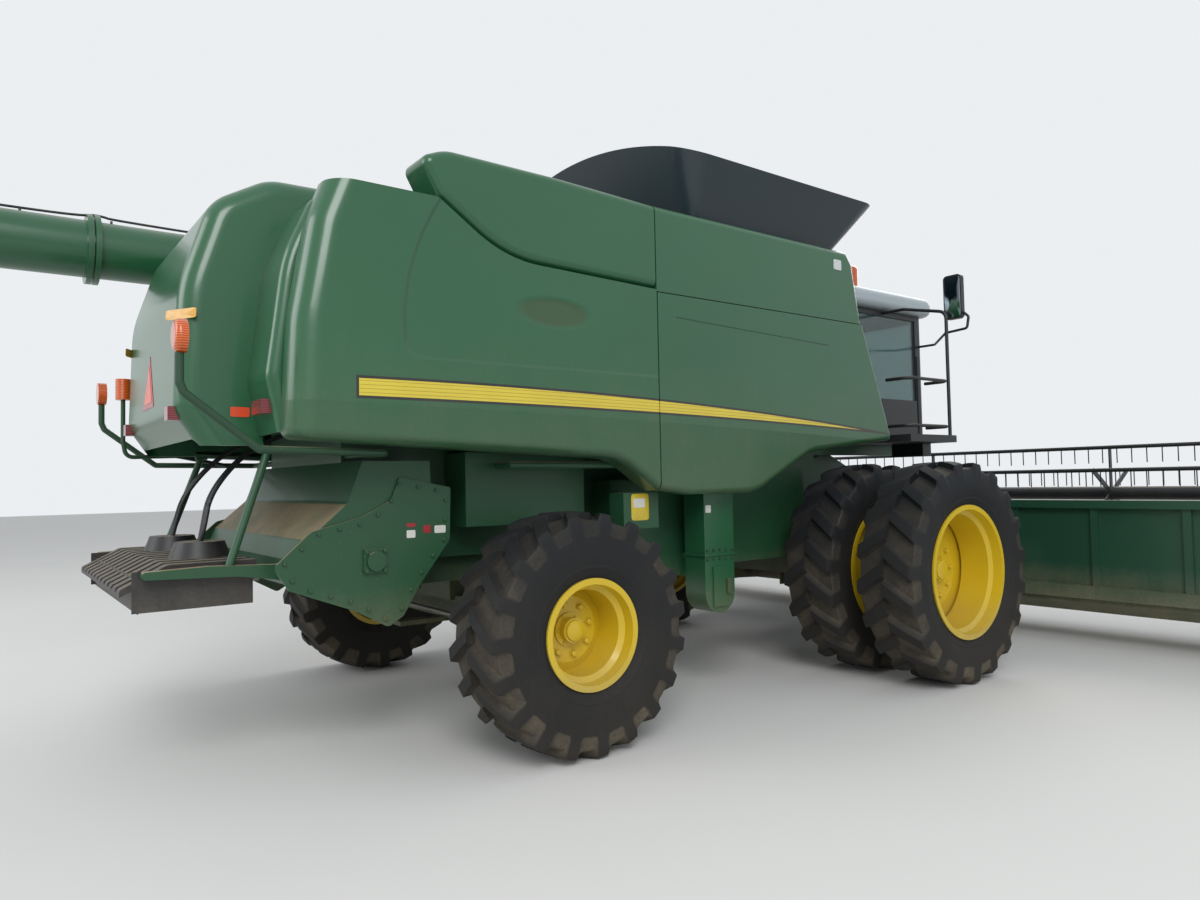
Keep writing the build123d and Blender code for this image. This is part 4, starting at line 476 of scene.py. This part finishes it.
glass = cab_glass()
amber, red = lens("amber_lens", "#e0661f", "#a8430f"), lens("red_lens", "#8c2530", "#571520")
clear = lens("clear_lens", "#dfe3e1", "#a9b0ae")
orange_film, red_film = film("orange_film", "#e2502a", "#b93a1c"), film("red_film", "#a5202b", "#7c1620")
white_film = film("white_film", "#dcdcd6", "#bcbbb2")
yellow_film = film("yellow_film", "#d8bf33", "#b79f22")
pale_film = film("pale_amber_film", "#d9a646", "#b98632")
print("glass, lenses and films ready")


# %% Bare steel
def bare_steel(name, main, shade, roughness):
    """Steel polished by use: fine cloudy wear 50 mm wide, a film of dust, and grit 4 mm wide."""
    material, shader, point = new_material(name, roughness, metallic=1.0)
    cloud = add_node(material, NOISE, {0: point, "Scale": 1 / 0.05, "Detail": 6})["Fac"]
    tone = add_node(material, MIX, {0: cloud, 6: main, 7: shade}, data_type="RGBA")[2]
    layer = dust_share(material, point, 1.5, 0.5)
    colour = add_node(material, MIX, {0: layer, 6: tone, 7: "#6f6455"}, data_type="RGBA")[2]
    rough = add_node(material, MATH, {0: layer, 1: 0.4, 2: roughness}, operation="MULTIPLY_ADD")[0]
    grit = add_node(material, NOISE, {0: point, "Scale": 1 / (4 * MM), "Detail": 3})["Fac"]
    return dress(material, shader, colour, rough, grit, 0.1)


steel = bare_steel("steel_polished_by_straw", "#a3a5a3", "#83817b", 0.38)
chrome = bare_steel("hard_chrome", "#cfd3d4", "#b9bec0", 0.16)
mirror = bare_steel("silvered_mirror", "#dfe6ec", "#d2dbe2", 0.03)
print("steel ready")

# %% [markdown]
# ## Each node gets its finish
# A CAD node keeps its shape and only gets a better material. The table is read from the top, and
# the first name that a node starts with wins. A node that no name fits gets the green enamel.

# %% Finishes by node
# the frame paint's darker green is painted shade
powder, frame_with_painted_shade, chopper = paints["black_powder_coat"], paints["frame_paint"], paints["chopper_paint"]
FINISHES = {
    "tyre": rubber, "rim": paints["yellow_wheel_enamel"], "front_axle": frame_with_painted_shade, "rear_axle": frame_with_painted_shade,
    "knuckle": frame_with_painted_shade, "tie_rod": steel, "frame_rails": frame_with_painted_shade, "separator": chopper,
    "engine_block": frame_with_painted_shade, "shield_rear": paints["rear_panel"], "shield_front": paints["front_panel"],
    "engine_deck": powder, "tank_extension": paints["tank_panel_paint"], "cab_shell": powder,
    "cab_roof": paints["roof_plastic"], "cab_glass": glass, "cab_door": powder, "door_glass": glass,
    "operator": plastic, "platforms": powder, "ladder": powder, "mirrors": powder, "lamp_arms": frame_with_painted_shade,
    "amber_lamps": amber, "tail_lamps": red, "chopper": chopper, "spreader_frame": chopper,
    "spreader_cover": plastic, "spreader_disc": steel, "feeder": paints["header_enamel"],
    "lift_barrels": powder, "lift_rods": chrome, "header_frame": paints["header_enamel"],
    "knife": steel, "header_auger": steel, "reel": powder,
}
for name, piece in nodes.items():
    fitting = (value for key, value in FINISHES.items() if name.startswith(key))
    finish = next(fitting, paints["green_enamel"])
    piece.data.materials.clear()
    piece.data.materials.append(finish)
print("finishes set on", len(nodes), "nodes")

# %% [markdown]
# ## Surfaces from arrays
# A new piece is a grid of points, worked out as one array, and quads join each point to its
# neighbours. A tube wraps round in one direction, a tyre in both. Several grids can share one
# mesh, which is how forty bolts stay one piece. Points that fall together at a pole or an end
# are merged, and then the faces are turned outwards.


# %% A piece from grids of points
def grid_faces(rows, columns, wrap_rows, wrap_columns, start):
    """Quads over a grid: each joins point (i, j) to (i, j + 1), (i + 1, j + 1) and (i + 1, j)."""
    down_steps, along_steps = rows - (not wrap_rows), columns - (not wrap_columns)
    i, j = np.meshgrid(np.arange(down_steps), np.arange(along_steps), indexing="ij")
    down, along = (i + 1) % rows, (j + 1) % columns
    quads = np.stack([i * columns + j, i * columns + along, down * columns + along, down * columns + j], -1)
    return quads.reshape(-1, 4) + start


def make_piece(name, grids, finish, body, angle=35, marks=None):
    """Join grids (points, wrap rows, wrap columns) into a mesh on a body; marks are numbers per point."""
    points, faces, start = [], [], 0
    for grid, wrap_rows, wrap_columns in grids:
        rows, columns = grid.shape[:2]
        faces.append(grid_faces(rows, columns, wrap_rows, wrap_columns, start))
        points.append(grid.reshape(-1, 3))
        start += rows * columns
    mesh = bpy.data.meshes.new(name)
    mesh.from_pydata(np.concatenate(points).tolist(), [], np.concatenate(faces).tolist())
    for mark, values in (marks or {}).items():
        mesh.attributes.new(mark, "FLOAT", "POINT").data.foreach_set("value", values.astype(np.float32))
    work = bmesh.new()
    work.from_mesh(mesh)
    bmesh.ops.remove_doubles(work, verts=work.verts, dist=0.00002)
    bmesh.ops.dissolve_degenerate(work, edges=work.edges, dist=0.00001)
    bmesh.ops.recalc_face_normals(work, faces=work.faces)
    work.to_mesh(mesh)
    work.free()
    mesh.shade_smooth()
    mesh.set_sharp_from_angle(angle=radians(angle))
    mesh.materials.append(finish)
    piece = bpy.data.objects.new(name, mesh)
    bpy.context.scene.collection.objects.link(piece)
    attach(piece, body)
    print(name, len(mesh.polygons), "faces")
    return piece


# %% Two directions square to an axis, and a lathe
def square_to(axis):
    """Two unit directions square to an axis, and the axis made one long, right-handed."""
    axis = np.asarray(axis, float) / np.linalg.norm(axis)
    helper = np.array([0, 0, 1.0]) if abs(axis[2]) < 0.9 else np.array([1.0, 0, 0])
    first = np.cross(helper, axis)
    first /= np.linalg.norm(first)
    return first, np.cross(axis, first), axis


def lathe(centre, axis, profile, sides=32, start=0.0):
    """Spin a profile of (distance along the axis, radius) pairs about an axis through the centre."""
    first, second, axis = square_to(axis)
    turn = start + np.linspace(0, 2 * np.pi, sides, endpoint=False)
    ring = np.cos(turn)[:, None] * first + np.sin(turn)[:, None] * second
    along, radius = np.asarray(profile, float).T
    grid = np.asarray(centre) + along[:, None, None] * axis + radius[:, None, None] * ring[None]
    return grid, False, True


# %% Pipes and plates
def pipe(route, radius, sides=12, turns=3):
    """A bent steel pipe: the route's corners are cut three times, and a ring is carried along it."""
    path = np.asarray(route, float)
    for _ in range(turns):
        ahead, behind = path[1:] * 0.25 + path[:-1] * 0.75, path[1:] * 0.75 + path[:-1] * 0.25
        path = np.concatenate([path[:1], np.stack([ahead, behind], 1).reshape(-1, 3), path[-1:]])
    tangent = np.gradient(path, axis=0)
    tangent /= np.linalg.norm(tangent, axis=1)[:, None]
    slant = np.array([0.31, 0.17, 0.93])    # a direction that no pipe here runs in
    across = np.cross(tangent, slant)
    across /= np.linalg.norm(across, axis=1)[:, None]
    turn = np.linspace(0, 2 * np.pi, sides, endpoint=False)[None, :, None]
    ring = np.cos(turn) * across[:, None] + np.sin(turn) * np.cross(tangent, across)[:, None]
    ends = [np.repeat(path[i][None, None], sides, 1) for i in (0, -1)]
    return np.concatenate([ends[0], path[:, None] + radius * ring, ends[1]]), False, True


def plate(centre, normal, width, height, thick=2 * MM, squareness=9):
    """A thin plate: the ring |x / a| ^ n + |z / b| ^ n = 1 carried out from its seat and closed."""
    across, up, normal = square_to(normal)
    turn = np.linspace(0, 2 * np.pi, 32, endpoint=False)
    x, z = np.cos(turn), np.sin(turn)
    x = np.sign(x) * np.abs(x) ** (2 / squareness) * width / 2
    z = np.sign(z) * np.abs(z) ** (2 / squareness) * height / 2
    ring = x[:, None] * across + z[:, None] * up
    share, rise = np.array([0, 1, 1, 0.98, 0]), np.array([0, 0, 0.7, 1, 1]) * thick
    return np.asarray(centre) + share[:, None, None] * ring + rise[:, None, None] * normal, False, True


print("surfaces can be made")

# %% [markdown]
# ## Tyres
# A drive tyre has two rows of long bars, half a pitch apart, that sweep back from the crown to
# the shoulder. The CAD tyre has the bars as flat facets. Here each tyre is one surface over two
# parameters: the angle round the wheel and the place on its section. Every section point has a
# place at the root and one on top of a bar, and a bar mask between 0 and 1 blends them. The
# grid is sheared along the bars' sweep, so that its lines follow the bars' edges.

# %% Numbers of the tyres and wheels; the bars' count, height and sweep and all sizes are the CAD's
LUGS = 19
LUG_HEIGHT, LUG_SWEEP = 52 * MM, 165 * MM
ROOT_HALF, TIP_HALF = 0.26, 0.16            # half widths of a bar as shares of its pitch
CROWN_DROP, FACET_DROP = 14 * MM, 1.5 * MM  # the bars' tops lie just inside the CAD facets
REAR_AXLE = -3.510                          # station of the rear axle
FRONT_RADIUS, REAR_RADIUS = 0.930, 0.777    # overall radii, and so the axles' heights too
TYRES = [  # kind, station, place across, overall radius, section width, bead radius, rim width
    ("front", 0.0, 1.524, FRONT_RADIUS, 0.510, 0.533, 0.456),
    ("front", 0.0, 2.286, FRONT_RADIUS, 0.510, 0.533, 0.456),
    ("rear", REAR_AXLE, 1.720, REAR_RADIUS, 0.560, 0.330, 0.490),
]
WHEELS = [  # kind, tyre node, body, station, height of the axle
    ("front", "tyres_front", "front_wheels", 0.0, FRONT_RADIUS),
    ("rear", "tyre_rear", "rear_wheel", REAR_AXLE, REAR_RADIUS),
]
print("wheelbase", -REAR_AXLE, "m")


# %% The tyre's section, from the crown to the bead
def tyre_section(radius, width, bead, rim_width):
    """Rows of (root place, root radius, bar place, bar radius) from the crown down one side."""
    half = width / 2
    edge, seat_half = half - 22 * MM, rim_width / 2 - 16 * MM
    across = np.array([0.004, 0.05, 0.2, 0.4, 0.6, 0.8, 0.95, 1.0]) * edge
    drop = FACET_DROP + CROWN_DROP * (across / edge) ** 2
    tread = np.stack([across, radius - LUG_HEIGHT - drop, across, radius - drop], 1)
    shoulder = np.array([  # distance in from the half width, and below the overall radius, root then bar
        [12, 78, 14, 19], [7, 96, 8, 34], [4, 120, 3, 70], [2, 150, 1, 120], [1, 175, 1, 168],
    ]) * MM
    shoulder = np.array([half, radius, half, radius]) - shoulder
    share = np.array([0.12, 0.3, 0.5, 0.62, 0.66, 0.70, 0.80, 0.90, 1.0])
    wall_top = radius - 190 * MM
    reach = wall_top + (bead + 30 * MM - wall_top) * share
    bulge = half - (half - seat_half) * share ** 2.2 - 1 * MM
    bulge[5] += 4 * MM                      # a rib round the wall
    wall = np.stack([bulge, reach, bulge, reach], 1)
    foot = np.array([[seat_half, bead + 27 * MM], [seat_half, bead + 1 * MM], [0.002, bead + 1 * MM]])
    return np.concatenate([tread, shoulder, wall, np.concatenate([foot, foot], 1)])


section = tyre_section(*TYRES[0][3:])
print("section rows", len(section), "widest", round(section[:, 2].max() * 2, 3), "m")


# %% The tyre's surface
def tyre_grid(x, y, radius, width, bead, rim_width):
    """Blend each section row from root to bar by a mask of the angle, sheared along the sweep."""
    side = tyre_section(radius, width, bead, rim_width)
    rows = np.concatenate([side * [-1, 1, -1, 1], side[::-1]])
    # grid lines of one pitch, close together at the edges of the bars
    edges = np.array([-0.01, 0.09, 0.15, 0.25, 0.35, 0.41, 0.49, 0.51, 0.59, 0.65, 0.75, 0.85, 0.91])
    turn = (np.arange(LUGS)[:, None] + edges).reshape(-1)
    pitch = 2 * np.pi / LUGS
    sweep = LUG_SWEEP / radius * np.clip(np.abs(rows[:, 0]) / (width / 2 - 22 * MM), 0, 1)
    phase = (turn[None] - 0.25 * np.sign(rows[:, :1]) + 0.5) % 1 - 0.5
    mask = np.clip((ROOT_HALF - np.abs(phase)) / (ROOT_HALF - TIP_HALF), 0, 1)[..., None]
    place = rows[:, None, :2] * (1 - mask) + rows[:, None, 2:] * mask
    angle = turn[None] * pitch + sweep[:, None]
    points = np.stack([AXLE_X + x + place[..., 1] * np.cos(angle), y + place[..., 0] + 0 * angle,
                       radius + place[..., 1] * np.sin(angle)], -1)
    plain = (np.abs(rows[:, 1] - rows[:, 3]) < 8 * MM)[:, None]
    return (points, True, True), np.where(plain, -1, 1 - mask[..., 0]), place[..., 1]


# %% Six tyres on four wheels
for side, sign in SIDES:
    for kind, node, body, _, _ in WHEELS:
        made = [tyre_grid(x, sign * y, *sizes) for name, x, y, *sizes in TYRES if name == kind]
        marks = {"groove": np.concatenate([groove.reshape(-1) for _, groove, _ in made]),
                 "radius": np.concatenate([reach.reshape(-1) for _, _, reach in made])}
        piece = make_piece(f"bar_tyres_{kind}_{side}", [grid for grid, _, _ in made], rubber,
                           f"{body}_{side}", angle=28, marks=marks)
        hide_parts(f"{node}_{side}")

# %% [markdown]
# ## Bolts
# A bolt head is a small hexagonal prism on a washer, seen as a glint more than as a shape. A row
# or ring of them is one piece: the head's profile is spun with six sides at each place.


# %% Bolt heads and where they go
def heads(places, axis, size):
    """Hexagonal heads 0.8 sizes high on washers 1.5 sizes across, one at each place."""
    profile = np.array([(0, 0), (0, 0.75), (0.16, 0.75), (0.16, 0.58), (0.72, 0.56), (0.8, 0.44), (0.8, 0)])
    return [lathe(place, axis, profile * size, sides=6) for place in np.atleast_2d(places)]


def ring_of_places(centre, axis, radius, count, start=0.0):
    """Places evenly round a circle square to an axis."""
    first, second, axis = square_to(axis)
    turn = start + np.linspace(0, 2 * np.pi, count, endpoint=False)[:, None]
    return np.asarray(centre) + radius * (np.cos(turn) * first + np.sin(turn) * second)


def places_along(corners, spacing):
    """Places about one spacing apart along a line through corners, by its length so far."""
    corners = np.asarray(corners, float)
    length = np.concatenate([[0], np.cumsum(np.linalg.norm(np.diff(corners, axis=0), axis=1))])
    stops = np.linspace(0, length[-1], max(2, round(length[-1] / spacing) + 1))
    return np.stack([np.interp(stops, length, corners[:, i]) for i in range(3)], 1)


print("bolt heads can be made")

# %% Wheel bolts and hub caps; each face is given by its distance from the middle
BOLT_RINGS = {  # face, circle's radius, bolts, head's size, first bolt's angle
    "front": [(2.172, 0.245, 10, 0.034, 0.0), (2.188, 0.132, 8, 0.022, 0.0)],
    "rear": [(1.674, 0.165, 8, 0.036, 0.2), (1.690, 0.094, 6, 0.014, 0.0)],
}
HUB_CAPS = {  # face, and the profile in millimetres
    "front": (2.248, [(0, 0), (0, 85), (14, 80), (22, 50), (24, 0)]),
    "rear": (1.745, [(0, 0), (0, 70), (16, 66), (28, 40), (32, 0)]),
}
for side, sign in SIDES:
    out = (0, sign, 0)
    for kind, _, body, station, height in WHEELS:
        grids = []
        for face, circle, count, size, start in BOLT_RINGS[kind]:
            centre = at(station, sign * face, height)
            grids += heads(ring_of_places(centre, out, circle, count, start), out, size)
        face, profile = HUB_CAPS[kind]
        grids.append(lathe(at(station, sign * face, height), out, np.array(profile) * MM))
        make_piece(f"wheel_bolts_{kind}_{side}", grids, paints["yellow_wheel_enamel"],
                   f"{body}_{side}", angle=20)

# %% [markdown]
# ## Plates, films and small lamps
# Small plates, the slow-vehicle triangle and the reflecting strips are thin, and they are blank
# here. Each is laid on the sheet that carries it: the line of sight or a level line finds the
# place and the face's normal, and the plate stands out from it by its own thickness.

# %% Plates placed by the line of sight, and the same on the left where the sheet has a twin
# Across and down are pixels of the photograph; width and height are in metres, thickness in mm.
PLATES = [  # name, node, across, down, width, height, thickness, finish, on the left too
    ("label_band_chopper", "chopper_housing", 411, 525, 0.060, 0.025, 2.5, red_film, True),
    ("label_field_chopper", "chopper_housing", 411, 534, 0.060, 0.050, 2.5, white_film, True),
    ("label_band_wide", "chopper_housing", 427, 529, 0.050, 0.050, 2.5, red_film, True),
    ("label_field_wide", "chopper_housing", 440, 529, 0.080, 0.050, 2.5, white_film, True),
    ("plate_box", "separator_body", 640, 507, 0.170, 0.200, 3.0, yellow_film, False),
    ("plate_box_field", "separator_body", 639, 503, 0.110, 0.070, 5.0, white_film, False),
    ("label_elevator", "grain_elevator", 708, 509, 0.060, 0.060, 2.5, white_film, False),
    ("marker_lamp_tank", "upper_sides", 837, 265, 0.105, 0.095, 8.0, clear, False),
    ("pale_strip_hood", "rear_hood", 181, 314, 0.240, 0.060, 3.0, pale_film, True),
    ("reflector_hood", "rear_hood", 240, 412, 0.110, 0.060, 4.0, orange_film, True),
]
for name, node, across, down, width, height, thick, finish, twin in PLATES:
    place, normal = seat_in_view(node, across, down)
    grids = [plate(place, normal, width, height, thick * MM)]
    print(name, place.round(3), normal.round(2))
    if twin:
        mirrored = normal * [1, -1, 1]
        place, normal = seat(node, place * [1, -1, 1] + mirrored * 0.3, -mirrored)
        grids.append(plate(place, normal, width, height, thick * MM))
    make_piece(name, grids, finish, "chassis")

# %% The slow-vehicle triangle: a red border and an orange field, both blank
TRIANGLE_HEIGHT, BEHIND = 2.40, -6.6        # height of its middle, a station behind the hood
place, normal = seat("rear_hood", at(BEHIND, 0.0, TRIANGLE_HEIGHT), (1, 0, 0))
BORDER_PROFILE = np.array([(0, 0), (0, 235), (3, 235), (3, 0)]) * MM
FIELD_PROFILE = np.array([(2, 0), (2, 165), (5, 165), (5, 0)]) * MM
border = lathe(place, normal, BORDER_PROFILE, 3, np.pi / 2)
field = lathe(place, normal, FIELD_PROFILE, 3, np.pi / 2)
make_piece("triangle_border", [border], red_film, "chassis")
make_piece("triangle_field", [field], orange_film, "chassis")

# %% [markdown]
# ## Bolted flanges
# The chopper's side plates and the elevator's joint are bolted sheets. The bolts follow each
# plate's edge a little way in, and their spacing is what holds such a sheet flat, 70 to 130 mm.

# %% Bolts along the chopper's side plates and round its shaft
PLATE_EDGE = np.array([  # station and height of each corner
    (-5.030, 1.475), (-4.710, 1.555), (-4.530, 1.645), (-4.470, 1.795), (-4.110, 1.725), (-4.120, 1.380),
    (-4.330, 1.110), (-4.450, 0.915), (-4.550, 0.855), (-4.760, 0.975), (-5.160, 1.135), (-5.250, 1.275),
    (-5.030, 1.475),
])
PLATE_FACE, BEARING_FACE = 1.2, 1.218       # outer faces' distances from the middle
SHAFT = (-4.64, 1.275)                      # station and height of the shaft
EDGE_INSET, BOLT_SPACING = 0.045, 0.13
inward = PLATE_EDGE.mean(0) - PLATE_EDGE
bolt_line = PLATE_EDGE + inward * EDGE_INSET / np.linalg.norm(inward, axis=1)[:, None]
for side, sign in SIDES:
    out = (0, sign, 0)
    corners = np.array([at(station, sign * PLATE_FACE, height) for station, height in bolt_line])
    grids = heads(places_along(corners, BOLT_SPACING)[:-1], out, 0.020)
    bearing = at(SHAFT[0], sign * BEARING_FACE, SHAFT[1])
    grids += heads(ring_of_places(bearing, out, 0.085, 4, np.pi / 4), out, 0.022)
    make_piece(f"chopper_bolts_{side}", grids, chopper, "chassis", angle=20)

# %% Bolts and the hatch's latch on the grain elevator
FLANGE_ENDS, FLANGE_FACE, ROW_HEIGHTS = (-1.955, -1.675), -1.4, (1.100, 1.172)
LATCH_PLACE = at(-1.74, -1.416, 0.88)
outwards = (0, -1, 0)
grids = []
for height in ROW_HEIGHTS:
    row = places_along([at(end, FLANGE_FACE, height) for end in FLANGE_ENDS], 0.07)
    grids += heads(row, outwards, 0.016)
grids.append(plate(LATCH_PLACE, outwards, 0.05, 0.12, 18 * MM))
make_piece("elevator_bolts_and_latch", grids, frame_with_painted_shade, "chassis", angle=20)

# %% [markdown]
# ## Pipes
# A thin pipe runs along the unloading auger on short stand-offs, and two pairs of lines in black
# sleeves feed the spreader's motors. They are rigid and clamped, so a route of a few points with
# rounded corners is enough, with a round section carried along it.

# %% The pipe on the auger's top
PIPE_Y, TUBE_TOP = 1.60, 3.926              # place across, and the height of the auger's tube there
PIPE_RADIUS, STAND_OFF_PITCH = 0.010, 0.62
STOPS = [  # station, height over the tube
    (-0.90, -0.01), (-1.00, 0.04), (-5.70, 0.04), (-5.84, 0.075), (-6.00, 0.04), (-7.05, 0.035),
    (-7.12, -0.01),
]
route = [at(x, PIPE_Y, TUBE_TOP + rise) for x, rise in STOPS]
stand_off = np.array([(0, 0), (0, 12), (50, 9), (50, 0)]) * MM
grids = [lathe(at(x, PIPE_Y, TUBE_TOP - 0.012), (0, 0, 1), stand_off, 12)
         for x in np.arange(-1.4, -7.0, -STAND_OFF_PITCH)]
grids.insert(0, pipe(route, PIPE_RADIUS))
make_piece("auger_pipe", grids, powder, "grain_auger", angle=30)

# %% Lines to the spreader's motors, a pair on each side
LINE_STOPS = [  # station, distance from the middle, height, share of the pair's gap
    (-4.95, 0.30, 2.10, 1), (-5.20, 0.32, 1.98, 1), (-5.42, 0.36, 1.72, 1), (-5.47, 0.42, 1.50, 1),
    (-5.49, 0.43, 1.40, 0.5),
]
LINE_RADIUS, PAIR_GAP = 0.013, 0.07
for side, sign in SIDES:
    grids = []
    for gap in (0.0, PAIR_GAP):
        route = [at(x, sign * (y + gap * share), z) for x, y, z, share in LINE_STOPS]
        grids.append(pipe(route, LINE_RADIUS))
    make_piece(f"spreader_lines_{side}", grids, plastic, "chassis", angle=40)

# %% [markdown]
# ## Small fittings of the cab
# The mirrors' glass looks to the rear, and six work lamps sit in the front edge of the roof.
# The view from behind hides most of them.

# %% The mirrors' glass
BACKWARDS, FORWARDS = (-1, 0, 0), (1, 0, 0)
MIRROR_WIDTH, MIRROR_HEIGHT = 0.166, 0.420
for side, sign in SIDES:
    place = at(1.300, sign * 1.70, 3.55)
    grids = [plate(place, BACKWARDS, MIRROR_WIDTH, MIRROR_HEIGHT, 2 * MM, 12)]
    make_piece(f"mirror_glass_{side}", grids, mirror, "chassis")

# %% Work lamps in the roof's front edge: places across, height, and a station ahead of the roof
LAMP_ROW, LAMP_HEIGHT, AHEAD = (-0.78, -0.52, -0.26, 0.26, 0.52, 0.78), 3.64, 3.0
RING_PROFILE = np.array([(-5, 0), (-5, 52), (16, 52), (18, 46), (10, 44), (10, 0)]) * MM
LENS_PROFILE = np.array([(9, 0), (9, 43), (14, 38), (17, 20), (18, 0)]) * MM
lamps, rings = [], []
for y in LAMP_ROW:
    place, _ = seat("cab_roof", at(AHEAD, y, LAMP_HEIGHT), BACKWARDS)
    rings.append(lathe(place, FORWARDS, RING_PROFILE))
    lamps.append(lathe(place, FORWARDS, LENS_PROFILE))
make_piece("work_lamp_rings", rings, powder, "chassis")
make_piece("work_lamp_lenses", lamps, clear, "chassis")

# %% [markdown]
# ## The stage and the light
# The floor is pale and plain. Three large soft lamps stand well away, so that shadows are soft,
# and the world gives even light. Where the camera, a mirror or glass looks straight at the
# world, it is nearly white.

# %% Floor
FLOOR_HALF = 70
corners = [(x * FLOOR_HALF, y * FLOOR_HALF, 0) for x, y in ((-1, -1), (1, -1), (1, 1), (-1, 1))]
floor_mesh = bpy.data.meshes.new("floor")
floor_mesh.from_pydata(corners, [], [(0, 1, 2, 3)])
floor = bpy.data.objects.new("floor", floor_mesh)
bpy.context.scene.collection.objects.link(floor)
concrete, floor_shader, spot = new_material("pale_floor", 0.9)
cloud = add_node(concrete, NOISE, {0: spot, "Scale": 1 / 2.5, "Detail": 2})["Fac"]
tone = add_node(concrete, MIX, {0: cloud, 6: "#d8d8d6", 7: "#dededc"}, data_type="RGBA")[2]
dress(concrete, floor_shader, tone, None, cloud, 0.2)
floor.data.materials.append(concrete)
print("the floor is", 2 * FLOOR_HALF, "m wide")

# %% Lamps
LAMPS = [  # name, place, size in metres, watts
    ("key_lamp", (-10, -15, 13), 9, 1900),
    ("fill_lamp", (-17, 5, 9), 9, 800),
    ("front_lamp", (15, 4, 11), 9, 800),
]
for name, place, size, watts in LAMPS:
    data = bpy.data.lights.new(name, "AREA")
    data.energy, data.size = watts, size
    lamp = bpy.data.objects.new(name, data)
    lamp.location = place
    lamp.rotation_euler = (Vector((0, 0, 1.5)) - Vector(place)).to_track_quat("-Z", "Y").to_euler()
    bpy.context.scene.collection.objects.link(lamp)
print(len(LAMPS), "lamps")

# %% World: even light, and a paler tone where the camera, a mirror or glass looks past the object
EVEN_LIGHT, PALER = 0.68, 0.3
world = bpy.data.worlds.new("studio")
bpy.context.scene.world = world
world.use_nodes = True
background = world.node_tree.nodes["Background"]
background.inputs["Color"].default_value = linear("#eef1f4")
seen = add_node(world, "ShaderNodeLightPath", {})
through = seen["Is Transmission Ray"]
direct = add_node(world, MATH, {0: seen["Is Camera Ray"], 1: through}, operation="MAXIMUM")[0]
shown = add_node(world, MATH, {0: direct, 1: seen["Is Glossy Ray"]}, operation="MAXIMUM")[0]
strength = add_node(world, MATH, {0: shown, 1: PALER, 2: EVEN_LIGHT}, operation="MULTIPLY_ADD")[0]
world.node_tree.links.new(strength, background.inputs["Strength"])
print("world ready")
